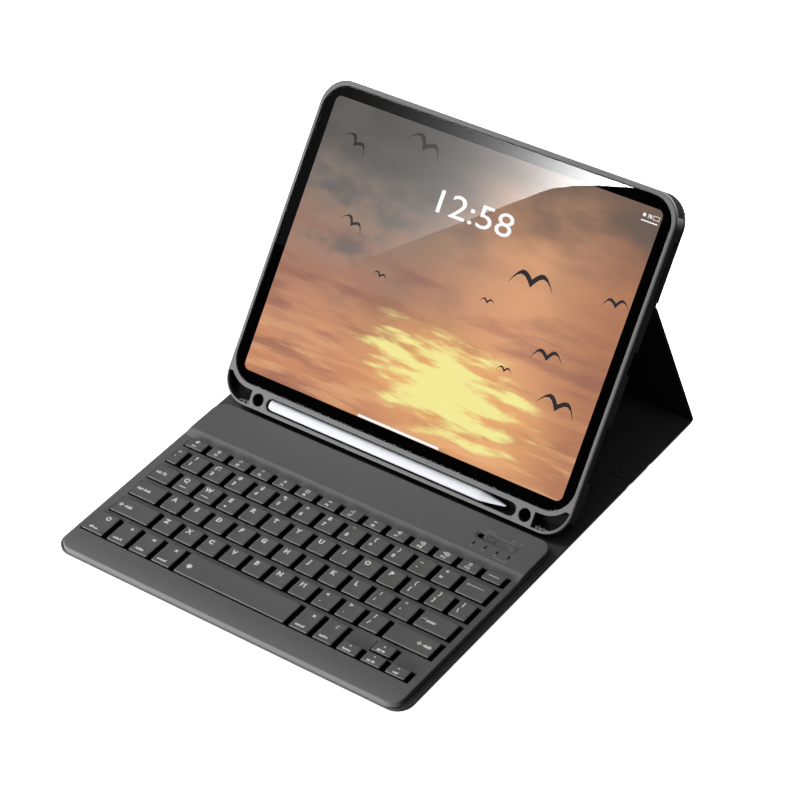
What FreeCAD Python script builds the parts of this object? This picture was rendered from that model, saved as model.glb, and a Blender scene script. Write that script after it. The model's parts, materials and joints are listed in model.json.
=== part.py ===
import FreeCAD, Part
import Sketcher
import math
import os
from FreeCAD import Placement, Rotation, Vector

# A folio keyboard case holding a tablet and a stylus, open as a stand.
# Frame: X to the user's right, Y away from the user, Z up, in millimetres.
# Origin: on the table, under the front cover and halfway across, 128 mm in front of its rear crease.

DIMENSIONS = (
    # the folio's panels
    ("cover_width", 286.8),
    ("flap_front", 124.0),
    ("flap_rear", 128.0),
    ("spine_length", 24.0),
    ("crease_half", 2.5),
    ("corner_radius", 12.0),
    ("skin_thick", 0.6),
    ("board_thick", 1.0),
    ("lining_thick", 0.6),
    ("board_inset", 3.0),
    # how the stand is set up
    ("foot_y", 58.0),
    ("foot_z", 2.5),
    ("tilt_deg", 49.88),
    ("attach_s", 162.6),
    ("glue_thick", 0.3),
    ("leg_reach", 132.0),
    # the holder's moulded tray, in its own plane
    ("tray_length", 234.0),
    ("tray_depth", 11.4),
    ("tray_radius", 20.0),
    ("tray_floor", 2.6),
    ("tray_edge", 1.5),
    ("band_height", 15.5),
    ("band_wall", 1.7),
    ("stylus_slot_half", 104.2),
    ("stylus_slot_width", 9.4),
    ("stylus_axis_s", 7.3),
    ("stylus_axis_t", 7.0),
    ("round_hole_x", 111.2),
    ("round_hole_radius", 4.6),
    ("corner_gap_x", 117.8),
    ("corner_gap_offset", 3.4),
    ("side_cut_depth", 5.5),
    ("speaker_cut_low", 40.0),
    ("speaker_cut_length", 40.0),
    ("port_cut_length", 16.0),
    ("camera_hole_side", 38.0),
    ("camera_hole_inset", 8.0),
    ("window_radius", 9.0),
    ("liner_thick", 1.2),
    ("liner_inset", 1.5),
    # the tablet
    ("tablet_width", 280.6),
    ("tablet_height", 214.9),
    ("tablet_radius", 18.6),
    ("tablet_clearance", 0.2),
    ("housing_thick", 6.0),
    ("housing_wall", 1.5),
    ("housing_back", 1.0),
    ("housing_edge", 1.6),
    ("tablet_gap", 0.05),
    ("glass_thick", 0.7),
    ("glass_edge", 0.3),
    ("glass_inset", 0.15),
    ("display_thick", 0.4),
    ("bezel", 8.2),
    ("display_radius", 4.5),
    # the stylus
    ("stylus_radius", 4.3),
    ("stylus_left", 102.8),
    ("cone_start", 75.0),
    ("tip_start", 88.0),
    ("tip_end", 94.0),
    ("point_radius", 0.5),
    # the keyboard's case
    ("keyboard_width", 278.4),
    ("keyboard_depth", 171.4),
    ("keyboard_front", -124.2),
    ("keyboard_radius", 10.0),
    ("foot_pad_low", 2.25),
    ("bottom_low", 2.5),
    ("bottom_thick", 0.9),
    ("deck_top", 6.8),
    ("band_top", 8.2),
    ("slope_front", 6.5),
    ("slope_rear", 13.5),
    ("case_wall", 1.2),
    ("case_edge", 0.9),
    ("boss_radius", 2.2),
    ("boss_gap", 0.5),
    ("bore_depth", 2.2),
    # the keys
    ("key_unit", 19.0),
    ("key_gap", 3.9),
    ("key_left", -130.6),
    ("key_top", 8.4),
    ("key_bottom", 5.7),
    ("key_chamfer", 0.35),
    ("key_corner", 0.8),
    ("cap_wall", 1.0),
    ("cap_hollow", 1.5),
    ("row_front", -80.7),
    ("row_pitch", 19.3),
    ("row_depth", 15.5),
    ("top_row_depth", 9.2),
    ("last_row_front", -104.3),
    ("last_row_depth", 20.1),
    ("last_row_left", -135.4),
    ("arrow_depth", 9.3),
    ("well_left", 1.35),
    ("well_right", 2.7),
    ("well_front", 0.35),
    ("well_rear", 0.45),
    # inside the keyboard
    ("plate_low", 3.5),
    ("plate_thick", 0.4),
    ("sheet_thick", 0.2),
    ("dome_thick", 0.3),
    ("field_width", 269.0),
    ("field_depth", 116.0),
    ("field_y", -44.5),
    ("sheet_radius", 2.0),
    ("battery_length", 78.0),
    ("battery_width", 22.0),
    ("battery_y", 28.0),
    ("battery_thick", 3.2),
    ("circuit_length", 70.0),
    ("circuit_width", 22.0),
    ("circuit_x", 96.0),
    ("circuit_y", 28.0),
    ("circuit_low", 3.9),
    ("circuit_thick", 0.8),
    ("socket_length", 7.0),
    ("socket_width", 8.8),
    ("socket_thick", 2.2),
    ("socket_wall", 0.5),
    ("charge_mouth_low", 4.4),
    ("charge_mouth_high", 7.0),
    ("charge_mouth_width", 9.2),
    # the controls on the raised band
    ("control_y", 29.6),
    ("recess_margin", 1.6),
    ("recess_reach", 4.6),
    ("recess_half", 3.9),
    ("recess_depth", 0.3),
    ("switch_slot_left", 91.2),
    ("switch_slot_right", 105.6),
    ("switch_slot_width", 4.6),
    ("knob_length", 9.4),
    ("knob_width", 4.0),
    ("knob_thick", 1.1),
    ("knob_drop", 0.1),
    ("knob_play", 0.4),
    ("groove_width", 0.5),
    ("groove_pitch", 1.4),
    ("groove_depth", 0.25),
    ("groove_margin", 0.8),
    ("button_x", 118.6),
    ("button_radius", 2.3),
    ("button_play", 0.15),
    ("button_thick", 2.0),
    ("button_rise", 0.2),
    ("button_edge", 0.3),
    ("light_y", 21.1),
    ("light_width", 1.2),
    ("light_length", 3.2),
    # small fittings
    ("magnet_radius", 4.0),
    ("magnet_thick", 1.2),
    ("disc_margin", 1.0),
    ("foot_pad_radius", 5.0),
    ("screw_radius", 0.8),
    ("screw_head_radius", 1.5),
    ("screw_head_thick", 0.5),
)

# The keys' widths, in units, from left to right in each full row.
NUMBER_ROW = (0.65,) + (1.0,) * 12 + (1.35,)
UPPER_ROW = (1.1,) + (1.0,) * 12 + (0.9,)
HOME_ROW = (1.4,) + (1.0,) * 11 + (1.6,)
LOWER_ROW = (1.9,) + (1.0,) * 10 + (2.1,)
TOP_ROW = (1.0,) * 14
LAST_ROW = (1.16, 1.01, 1.01, 1.01, 5.0, 1.0, 1.0, 1.0, 1.0, 1.0)

LIGHT_XS = (93.9, 103.0, 112.2, 121.3)
MAGNET_XS = (-120.0, -60.0, 0.0, 60.0, 120.0)
MAGNET_Y = -114.5
SCREW_PLACES = ((-132.0, -119.5), (132.0, -119.5), (-30.0, -119.5), (30.0, -119.5),
                (-132.0, 42.0), (132.0, 42.0), (-6.0, 42.0), (56.0, 42.0))
FOOT_PAD_PLACES = ((-126.0, -108.0), (-126.0, 32.0), (126.0, -108.0), (126.0, 32.0))
BATTERY_LEFTS = (-128.0, -46.0)

doc = FreeCAD.newDocument("keyboard_folio")


def make_sheet(numbers):
    sheet = doc.addObject("Spreadsheet::Sheet", "Dims")
    for line, (alias, number) in enumerate(numbers, start=1):
        sheet.set(f"A{line}", alias)
        sheet.set(f"B{line}", str(number))
        sheet.setAlias(f"B{line}", alias)
    doc.recompute()
    return sheet


def stand_numbers(numbers):
    """Where the leg meets the tray and the table, from the stand's driving dimensions."""
    tilt = math.radians(numbers["tilt_deg"])
    cover = numbers["skin_thick"] + numbers["board_thick"] + numbers["lining_thick"]
    behind = numbers["glue_thick"] + cover / 2
    hinge_y = numbers["foot_y"] + numbers["attach_s"] * math.cos(tilt) + behind * math.sin(tilt)
    hinge_z = numbers["foot_z"] + numbers["attach_s"] * math.sin(tilt) - behind * math.cos(tilt)
    lean = math.asin((hinge_z - cover / 2) / numbers["leg_reach"])
    fold_y = hinge_y + numbers["leg_reach"] * math.cos(lean)
    gap = numbers["crease_half"]
    spine_end = numbers["flap_rear"] + numbers["spine_length"]
    return (
        ("cover_thick", cover),
        ("flap_panel", numbers["flap_front"] + numbers["flap_rear"] - gap),
        ("spine_panel", numbers["spine_length"] - 2 * gap),
        ("base_panel", fold_y - spine_end - 2 * gap),
        ("leg_panel", numbers["leg_reach"] - 2 * gap),
        ("back_panel", numbers["tray_length"] - numbers["attach_s"] - gap),
        ("hinge_y", hinge_y),
        ("hinge_z", hinge_z),
        ("lean_deg", math.degrees(lean)),
        ("fold_y", fold_y),
    )


worked_out = tuple((name, round(number, 4)) for name, number in stand_numbers(dict(DIMENSIONS)))
sheet = make_sheet(DIMENSIONS + worked_out)


def dim(alias):
    return float(sheet.get(alias))


# ---------------------------------------------------------------- helpers

def tilted(y, z, degrees):
    return Placement(Vector(0, y, z), Rotation(Vector(1, 0, 0), degrees))


def new_body(label, placement=Placement()):
    body = doc.addObject("PartDesign::Body", label)
    body.Label = label
    body.Placement = placement
    return body


def flat_sketch(body, name, x="0", y="0", z="0"):
    """A sketch on the body's own XY plane, moved to x, y, z, which are expressions."""
    plane = next(item for item in body.Origin.OriginFeatures if item.Role == "XY_Plane")
    sketch = body.newObject("Sketcher::SketchObject", name)
    sketch.AttachmentSupport = (plane, "")
    sketch.MapMode = "FlatFace"
    for axis, expression in (("x", x), ("y", y), ("z", z)):
        sketch.setExpression(f"AttachmentOffset.Base.{axis}", expression)
    return sketch


def add_rectangle(sketch, width, depth):
    """A rectangle centred on the sketch's origin; width and depth are expressions."""
    corners = [Vector(-1, -1, 0), Vector(1, -1, 0), Vector(1, 1, 0), Vector(-1, 1, 0)]
    for k in range(4):
        sketch.addGeometry(Part.LineSegment(corners[k], corners[(k + 1) % 4]), False)
    for k in range(4):
        sketch.addConstraint(Sketcher.Constraint("Coincident", k, 2, (k + 1) % 4, 1))
        sketch.addConstraint(Sketcher.Constraint("Vertical" if k % 2 else "Horizontal", k))
    sketch.addConstraint(Sketcher.Constraint("Symmetric", 0, 1, 1, 2, -1, 1))
    across = sketch.addConstraint(Sketcher.Constraint("DistanceX", 0, 1, 0, 2, 2.0))
    along = sketch.addConstraint(Sketcher.Constraint("DistanceY", 1, 1, 1, 2, 2.0))
    sketch.setExpression(f"Constraints[{across}]", width)
    sketch.setExpression(f"Constraints[{along}]", depth)


def add_circle(sketch, radius):
    """A circle centred on the sketch's origin; radius is an expression."""
    sketch.addGeometry(Part.Circle(Vector(0, 0, 0), Vector(0, 0, 1), 1.0), False)
    sketch.addConstraint(Sketcher.Constraint("Coincident", 0, 3, -1, 1))
    size = sketch.addConstraint(Sketcher.Constraint("Radius", 0, 1.0))
    sketch.setExpression(f"Constraints[{size}]", radius)


def pad(body, sketch, length):
    feature = body.newObject("PartDesign::Pad", f"{sketch.Name}_pad")
    feature.Profile = sketch
    feature.setExpression("Length", length)
    return feature


def pocket_down(body, sketch, depth):
    feature = body.newObject("PartDesign::Pocket", f"{sketch.Name}_pocket")
    feature.Profile = sketch
    feature.setExpression("Length", depth)
    return feature


def upright_edges(shape, keep=lambda point: True):
    """The names of the edges that run straight along Z and pass the keep test."""
    names = []
    for number, edge in enumerate(shape.Edges, start=1):
        start, end = edge.Vertexes[0].Point, edge.Vertexes[-1].Point
        is_upright = abs(start.x - end.x) + abs(start.y - end.y) < 1e-6
        if is_upright and keep(start):
            names.append(f"Edge{number}")
    return names


def round_corners(body, feature, radius, keep=lambda point: True):
    doc.recompute()
    fillet = body.newObject("PartDesign::Fillet", f"{feature.Name}_fillet")
    fillet.Base = (feature, upright_edges(feature.Shape, keep))
    fillet.setExpression("Radius", radius)
    body.Tip = fillet
    return fillet


def plate(label, width, depth, thick, placement=Placement(), x="0", y="0", z="0", radius=None,
          keep=lambda point: True):
    """A flat rectangular piece, centred on x and y, with its underside at z."""
    body = new_body(label, placement)
    sketch = flat_sketch(body, f"{label}_outline", x, y, z)
    add_rectangle(sketch, width, depth)
    feature = pad(body, sketch, thick)
    if radius:
        round_corners(body, feature, radius, keep)
    return body


def slab(x0, x1, y0, y1, z0, z1, radius=0.0):
    """A box with its upright edges rounded."""
    solid = Part.makeBox(x1 - x0, y1 - y0, z1 - z0, Vector(x0, y0, z0))
    if not radius:
        return solid
    upright = [solid.Edges[int(name[4:]) - 1] for name in upright_edges(solid)]
    return solid.makeFillet(radius, upright)


def disc(radius, height, x, y, z):
    return Part.makeCylinder(radius, height, Vector(x, y, z))


def add_shape(label, shape, placement=Placement()):
    piece = doc.addObject("Part::Feature", label)
    piece.Label = label
    piece.Shape = shape
    piece.Placement = placement
    return piece


# ---------------------------------------------------------------- the folio's panels

def cover_panel(name, length, placement, free_end=None, corner="Dims.corner_radius"):
    """Skin, board and lining, outer face at z 0, running from y 0 along Y by the given length.

    The lining is recessed for the board, so the board fills it and the three lie face to face.
    free_end is 1 where the panel's far end is the folio's rounded edge, -1 for the near end."""
    middle = f"{length} / 2"
    board_width = "Dims.cover_width - 2 * Dims.board_inset"
    board_length = f"{length} - 2 * Dims.board_inset"
    board_z = "Dims.skin_thick"
    keep = (lambda point: True) if free_end is None else (
        lambda point: (point.y > 1) == (free_end > 0))
    radius = corner if free_end else None
    plate(f"{name}_skin", "Dims.cover_width", length, "Dims.skin_thick", placement,
          y=middle, radius=radius, keep=keep)
    plate(f"{name}_board", board_width, board_length, "Dims.board_thick", placement,
          y=middle, z=board_z, radius=f"{corner} / 2")
    lining = new_body(f"{name}_lining", placement)
    outline = flat_sketch(lining, f"{name}_lining_outline", y=middle, z=board_z)
    add_rectangle(outline, "Dims.cover_width", length)
    feature = pad(lining, outline, "Dims.board_thick + Dims.lining_thick")
    if radius:
        round_corners(lining, feature, radius, keep)
    recess = flat_sketch(lining, f"{name}_board_recess", y=middle,
                         z="Dims.skin_thick + Dims.board_thick")
    add_rectangle(recess, board_width, board_length)
    room = pocket_down(lining, recess, "Dims.board_thick")
    near = dim("board_inset")
    far_x = dim("cover_width") / 2 - near
    far_y = dim(length[5:]) - near
    round_corners(lining, room, f"{corner} / 2",
                  lambda point: abs(abs(point.x) - far_x) < 0.01
                  and min(abs(point.y - near), abs(point.y - far_y)) < 0.01)


def make_folio():
    flap_start = -dim("flap_front")
    spine_start = dim("flap_rear") + dim("crease_half")
    base_start = spine_start + dim("spine_length")
    half_cover = dim("cover_thick") / 2
    leg_turn = 180 - dim("lean_deg")
    leg_frame = tilted(dim("fold_y"), half_cover, leg_turn)
    leg_start = leg_frame.multiply(Placement(Vector(0, dim("crease_half"), -half_cover), Rotation()))
    back_low = -dim("glue_thick") - dim("cover_thick")
    back_start = tray_frame().multiply(
        Placement(Vector(0, dim("attach_s") + dim("crease_half"), back_low), Rotation()))
    cover_panel("front_cover", "Dims.flap_panel", tilted(flap_start, 0, 0), free_end=-1)
    cover_panel("spine", "Dims.spine_panel", tilted(spine_start, 0, 0))
    cover_panel("base_panel", "Dims.base_panel", tilted(base_start, 0, 0))
    cover_panel("leg_panel", "Dims.leg_panel", leg_start)
    cover_panel("back_cover", "Dims.back_panel", back_start, free_end=1, corner="Dims.tray_radius")
    glue_start = dim("attach_s") + dim("crease_half") + dim("board_inset")
    plate("adhesive_sheet", "Dims.cover_width - 6 * Dims.board_inset",
          "Dims.back_panel - 2 * Dims.board_inset", "Dims.glue_thick",
          tray_frame().multiply(Placement(Vector(0, glue_start, -dim("glue_thick")), Rotation())),
          y="(Dims.back_panel - 2 * Dims.board_inset) / 2", radius="Dims.corner_radius / 2")


def cut_window(label, z_top, thick, x, y, side, radius):
    """A square window through a finished plate; every argument after the label is an expression."""
    body = doc.getObject(label)
    sketch = flat_sketch(body, f"{label}_window", x, y, z_top)
    add_rectangle(sketch, side, side)
    window = pocket_down(body, sketch, thick)
    round_corners(body, window, radius, lambda point: is_window_corner(point, window))


def is_window_corner(point, window):
    centre = window.Profile[0].AttachmentOffset.Base
    half = dim("camera_hole_side") / 2
    return abs(abs(point.x - centre.x) - half) < 0.01 and abs(abs(point.y - centre.y) - half) < 0.01


def cut_camera_windows():
    """The camera's window through the back cover's layers and the glue behind the tray."""
    x = "-Dims.tablet_width / 2 + Dims.camera_hole_inset + Dims.camera_hole_side / 2"
    up_tray = ("(Dims.band_height + Dims.tablet_height - Dims.camera_hole_inset"
               " - Dims.camera_hole_side / 2)")
    panel_start = "(Dims.attach_s + Dims.crease_half)"
    in_panel = f"{up_tray} - {panel_start}"
    in_glue = f"{up_tray} - {panel_start} - Dims.board_inset"
    board_z = "Dims.skin_thick + Dims.board_thick"
    side = "Dims.camera_hole_side"
    radius = "Dims.window_radius"
    cut_window("back_cover_skin", "Dims.skin_thick", "Dims.skin_thick", x, in_panel, side, radius)
    cut_window("back_cover_board", board_z, "Dims.board_thick", x, in_panel, side, radius)
    cut_window("back_cover_lining", "Dims.cover_thick", "Dims.lining_thick", x, in_panel, side, radius)
    cut_window("adhesive_sheet", "Dims.glue_thick", "Dims.glue_thick", x, in_glue, side, radius)


# ---------------------------------------------------------------- the holder's tray

def tray_frame():
    """The tray's own frame: X across, Y up its back, Z out of the screen."""
    return tilted(dim("foot_y"), dim("foot_z"), dim("tilt_deg"))


def tray_slab(inset, z0, z1, radius):
    half = dim("cover_width") / 2 - inset
    return slab(-half, half, inset, dim("tray_length") - inset, z0, z1, radius)


def tablet_slab(margin, z0, z1):
    half = dim("tablet_width") / 2 + margin
    low = dim("band_height") - margin
    high = dim("band_height") + dim("tablet_height") + margin
    return slab(-half, half, low, high, z0, z1, dim("tablet_radius") + margin)


def stylus_slot():
    reach = dim("stylus_slot_half")
    half = dim("stylus_slot_width") / 2
    centre = dim("stylus_axis_s")
    return slab(-reach, reach, centre - half, centre + half, dim("tray_floor"),
                dim("tray_depth") + 1, half - 0.01)


def corner_openings():
    """The open corners between the tray's outer wall and the band round the tablet."""
    inside = tray_slab(dim("band_wall"), dim("tray_floor"), dim("tray_depth") + 1,
                       dim("tray_radius") - dim("band_wall"))
    keep_out = tablet_slab(dim("corner_gap_offset"), 0, dim("tray_depth") + 2)
    high = dim("band_height") + 4
    start = dim("corner_gap_x")
    far = dim("cover_width") / 2
    openings = []
    for x0, x1 in ((-far, -start), (start, far)):
        zone = Part.makeBox(x1 - x0, high, dim("tray_depth") + 2, Vector(x0, 0, 0))
        openings.append(inside.common(zone).cut(keep_out))
    return openings


def side_cuts():
    """Speaker cut-outs in both side walls and the charging port's in the right one."""
    cuts = []
    far = dim("cover_width") / 2
    wall = far - dim("tablet_width") / 2 - dim("tablet_clearance")
    depth = dim("side_cut_depth")
    middle = dim("band_height") + dim("tablet_height") / 2
    long_cut = dim("speaker_cut_length")
    low = dim("speaker_cut_low")
    spans = [(low, low + long_cut), (2 * middle - low - long_cut, 2 * middle - low)]
    port = (middle - dim("port_cut_length") / 2, middle + dim("port_cut_length") / 2)
    for side in (-1, 1):
        side_spans = spans + [port] if side > 0 else spans
        for start, end in side_spans:
            x0 = far - wall if side > 0 else -far - 1
            cuts.append(Part.makeBox(wall + 1, end - start, depth + 1, Vector(x0, start, -1)))
    return cuts


def camera_window(z0, z1, margin=0.0):
    side = dim("camera_hole_side")
    x0 = -dim("tablet_width") / 2 + dim("camera_hole_inset")
    y1 = dim("band_height") + dim("tablet_height") - dim("camera_hole_inset")
    return slab(x0 - margin, x0 + side + margin, y1 - side - margin, y1 + margin, z0, z1,
                dim("window_radius"))


def make_tray():
    tray = tray_slab(0.0, 0.0, dim("tray_depth"), dim("tray_radius"))
    rim = [edge for edge in tray.Edges if abs(edge.CenterOfMass.z) < 1e-6
           or abs(edge.CenterOfMass.z - dim("tray_depth")) < 1e-6]
    tray = tray.makeFillet(dim("tray_edge"), rim)
    room = tablet_slab(dim("tablet_clearance"), dim("tray_floor"), dim("tray_depth") + 1)
    tools = [room, stylus_slot(), camera_window(-1, dim("tray_depth"))]
    tools += corner_openings() + side_cuts()
    for side in (-1, 1):
        tools.append(disc(dim("round_hole_radius"), dim("tray_depth"), side * dim("round_hole_x"),
                          dim("stylus_axis_s"), dim("tray_floor")))
    for tool in tools:
        tray = tray.cut(tool)
    add_shape("tablet_tray", tray.removeSplitter(), tray_frame())
    liner = tablet_slab(-dim("liner_inset"), dim("tray_floor"), dim("tray_floor") + dim("liner_thick"))
    liner = liner.cut(camera_window(0, dim("tray_depth"), margin=0.5))
    add_shape("tray_liner", liner, tray_frame())


# ---------------------------------------------------------------- tablet and stylus

def make_tablet():
    back = dim("tray_floor") + dim("liner_thick") + dim("tablet_gap")
    front = back + dim("housing_thick")
    housing = tablet_slab(0, back, front)
    back_rim = [edge for edge in housing.Edges if abs(edge.CenterOfMass.z - back) < 1e-6]
    housing = housing.makeFillet(dim("housing_edge"), back_rim)
    display_low = front - dim("display_thick")
    inner = tablet_slab(-dim("housing_wall"), back + dim("housing_back"), display_low)
    display_half = dim("tablet_width") / 2 - dim("bezel")
    display = slab(-display_half, display_half, dim("band_height") + dim("bezel"),
                   dim("band_height") + dim("tablet_height") - dim("bezel"),
                   display_low, front, dim("display_radius"))
    add_shape("tablet_housing", housing.cut(inner).cut(display), tray_frame())
    add_shape("tablet_core", inner, tray_frame())
    add_shape("tablet_display", display, tray_frame())
    glass = tablet_slab(-dim("glass_inset"), front, front + dim("glass_thick"))
    glass_rim = [edge for edge in glass.Edges
                 if abs(edge.CenterOfMass.z - front - dim("glass_thick")) < 1e-6]
    add_shape("tablet_glass", glass.makeFillet(dim("glass_edge"), glass_rim), tray_frame())


def along_x(radius_low, radius_high, x0, x1):
    centre = Vector(x0, dim("stylus_axis_s"), dim("stylus_axis_t"))
    if radius_low == radius_high:
        return Part.makeCylinder(radius_low, x1 - x0, centre, Vector(1, 0, 0))
    return Part.makeCone(radius_low, radius_high, x1 - x0, centre, Vector(1, 0, 0))


def make_stylus():
    radius = dim("stylus_radius")
    shoulder = -dim("stylus_left") + 0.6 * radius
    shaft = along_x(radius, radius, -dim("stylus_left"), dim("cone_start"))
    end_rim = [edge for edge in shaft.Edges if abs(edge.CenterOfMass.x + dim("stylus_left")) < 1e-6]
    shaft = shaft.makeFillet(shoulder + dim("stylus_left"), end_rim)
    cone_share = (dim("tip_end") - dim("tip_start")) / (dim("tip_end") - dim("cone_start"))
    neck = dim("point_radius") + (radius - dim("point_radius")) * cone_share
    shaft = shaft.fuse(along_x(radius, neck, dim("cone_start"), dim("tip_start")))
    add_shape("stylus_barrel", shaft.removeSplitter(), tray_frame())
    add_shape("stylus_tip", along_x(neck, dim("point_radius"), dim("tip_start"), dim("tip_end")),
              tray_frame())


# ---------------------------------------------------------------- the keys

def row_keys(widths, left, front, depth):
    """The rectangles x0, x1, y0, y1 of one row's key caps."""
    caps = []
    at = left
    for units in widths:
        room = units * dim("key_unit")
        caps.append((at, at + room - dim("key_gap"), front, front + depth))
        at += room
    return caps


def all_keys():
    """Every key cap's rectangle, gathered under the name of the piece that it belongs to."""
    left = dim("key_left")
    fronts = [dim("row_front") + n * dim("row_pitch") for n in range(5)]
    lower = row_keys(LOWER_ROW, left, fronts[0], dim("row_depth"))
    home = row_keys(HOME_ROW, left, fronts[1], dim("row_depth"))
    upper = row_keys(UPPER_ROW, left, fronts[2], dim("row_depth"))
    number = row_keys(NUMBER_ROW, left, fronts[3], dim("row_depth"))
    top = row_keys(TOP_ROW, left, fronts[4], dim("top_row_depth"))
    last = row_keys(LAST_ROW, dim("last_row_left"), dim("last_row_front"), dim("last_row_depth"))
    arrows = [(x0, x1, y0, y0 + dim("arrow_depth")) for x0, x1, y0, y1 in last[7:]]
    x0, x1, y0, y1 = last[8]
    up_arrow = (x0, x1, y1 - dim("arrow_depth"), y1)
    return {
        "function_row_keys": top,
        "number_row_keys": number[:-1],
        "backspace_key": number[-1:],
        "tab_key": upper[:1],
        "upper_letter_keys": upper[1:],
        "caps_lock_key": home[:1],
        "home_letter_keys": home[1:-1],
        "enter_key": home[-1:],
        "left_shift_key": lower[:1],
        "lower_letter_keys": lower[1:-1],
        "right_shift_key": lower[-1:],
        "fn_key": last[:1],
        "left_modifier_keys": last[1:4],
        "space_bar": last[4:5],
        "right_modifier_keys": last[5:7],
        "left_arrow_key": arrows[:1],
        "down_arrow_key": arrows[1:2],
        "up_arrow_key": [up_arrow],
        "right_arrow_key": arrows[2:],
    }


def key_cap(x0, x1, y0, y1):
    """A hollow cap: a box with softened corners, a chamfered top and a recess underneath."""
    cap = slab(x0, x1, y0, y1, dim("key_bottom"), dim("key_top"), dim("key_corner"))
    rim = [edge for edge in cap.Edges if abs(edge.CenterOfMass.z - dim("key_top")) < 1e-6]
    cap = cap.makeChamfer(dim("key_chamfer"), rim)
    wall = dim("cap_wall")
    hollow = Part.makeBox(x1 - x0 - 2 * wall, y1 - y0 - 2 * wall, dim("cap_hollow"),
                          Vector(x0 + wall, y0 + wall, dim("key_bottom")))
    return cap.cut(hollow)


def make_keys():
    for label, caps in all_keys().items():
        solids = [key_cap(*cap) for cap in caps]
        add_shape(label, solids[0] if len(solids) == 1 else Part.makeCompound(solids))


# ---------------------------------------------------------------- the keyboard's case

def keyboard_slab(inset, z0, z1):
    half = dim("keyboard_width") / 2 - inset
    front = dim("keyboard_front") + inset
    rear = dim("keyboard_front") + dim("keyboard_depth") - inset
    return slab(-half, half, front, rear, z0, z1, dim("keyboard_radius") - inset)


def stepped_block(drop, z0):
    """The case's side profile, low deck and raised rear band, pushed across its width."""
    front = dim("keyboard_front") - 1
    rear = dim("keyboard_front") + dim("keyboard_depth") + 1
    deck = dim("deck_top") - drop
    band = dim("band_top") - drop
    points = [Vector(0, front, z0), Vector(0, front, deck), Vector(0, dim("slope_front"), deck),
              Vector(0, dim("slope_rear"), band), Vector(0, rear, band), Vector(0, rear, z0)]
    face = Part.Face(Part.makePolygon(points + points[:1]))
    face.translate(Vector(-dim("keyboard_width") / 2 - 1, 0, 0))
    return face.extrude(Vector(dim("keyboard_width") + 2, 0, 0))


def key_wells():
    high = dim("band_top") + 1
    low = dim("bottom_low")
    wells = []
    for caps in all_keys().values():
        for x0, x1, y0, y1 in caps:
            width = x1 - x0 + dim("well_left") + dim("well_right")
            depth = y1 - y0 + dim("well_front") + dim("well_rear")
            corner = Vector(x0 - dim("well_left"), y0 - dim("well_front"), low)
            wells.append(Part.makeBox(width, depth, high - low, corner))
    return wells


def control_openings():
    """The shallow oblong recess, the switch's slot, the button's hole and the lights' windows."""
    top = dim("band_top")
    low = top - dim("case_wall") - 1
    y = dim("control_y")
    half = dim("switch_slot_width") / 2
    reach = dim("recess_half")
    recess = slab(dim("switch_slot_left") - dim("recess_margin"), dim("button_x") + dim("recess_reach"),
                  y - reach, y + reach, top - dim("recess_depth"), top + 1, reach - 0.05)
    slot = slab(dim("switch_slot_left"), dim("switch_slot_right"), y - half, y + half, low, top + 1,
                half - 0.01)
    hole = disc(dim("button_radius") + dim("button_play"), top + 1 - low, dim("button_x"), y, low)
    return [recess, slot, hole] + light_blocks(low, top + 1)


def light_blocks(z0, z1):
    """One small upright block for each indicator light."""
    corner_y = dim("light_y") - dim("light_length") / 2
    return [Part.makeBox(dim("light_width"), dim("light_length"), z1 - z0,
                         Vector(x - dim("light_width") / 2, corner_y, z0)) for x in LIGHT_XS]


def rim_edges(outer):
    """The block's upper outline, without the lines where the slope meets the deck and the band."""
    deck = dim("deck_top") - 0.01
    width = dim("keyboard_width") - dim("keyboard_radius")
    return [edge for edge in outer.Edges if edge.BoundBox.ZMin > deck and edge.BoundBox.XLength < width]


def make_keyboard_case():
    seam = dim("bottom_low") + dim("bottom_thick")
    outer = keyboard_slab(0, seam, 20).common(stepped_block(0, seam))
    outer = outer.makeFillet(dim("case_edge"), rim_edges(outer))
    wall = dim("case_wall")
    inner = keyboard_slab(wall, seam - 1, 20).common(stepped_block(wall, seam - 1))
    bosses = []
    for x, y in SCREW_PLACES:
        roof = dim("band_top") if y > 0 else dim("deck_top")
        bosses.append(disc(dim("boss_radius"), roof - dim("boss_gap") - seam, x, y, seam))
    bores = [disc(dim("screw_radius"), dim("bore_depth"), x, y, seam) for x, y in SCREW_PLACES]
    top_case = outer.cut(inner)
    top_case = top_case.fuse(bosses)
    top_case = top_case.cut(key_wells())
    top_case = top_case.cut(control_openings() + bores + [charge_opening()])
    add_shape("keyboard_top_case", top_case.removeSplitter())
    low = dim("bottom_low")
    bottom = keyboard_slab(0.2, low, seam)
    heads = [disc(dim("screw_head_radius"), dim("screw_head_thick"), x, y, low) for x, y in SCREW_PLACES]
    shank_length = dim("bottom_thick") + dim("bore_depth")
    shanks = [disc(dim("screw_radius"), shank_length, x, y, low) for x, y in SCREW_PLACES]
    add_shape("keyboard_bottom_case", bottom.cut(heads + shanks))
    screws = [head.fuse(shank).removeSplitter() for head, shank in zip(heads, shanks)]
    add_shape("case_screws", Part.makeCompound(screws))


def charge_opening():
    """The charging socket's mouth in the right-hand wall of the raised band."""
    far = dim("keyboard_width") / 2
    width = dim("charge_mouth_width")
    low = dim("charge_mouth_low")
    reach = 3.0
    return Part.makeBox(reach + 1, width, dim("charge_mouth_high") - low,
                        Vector(far - reach, dim("control_y") - width / 2, low))


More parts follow.
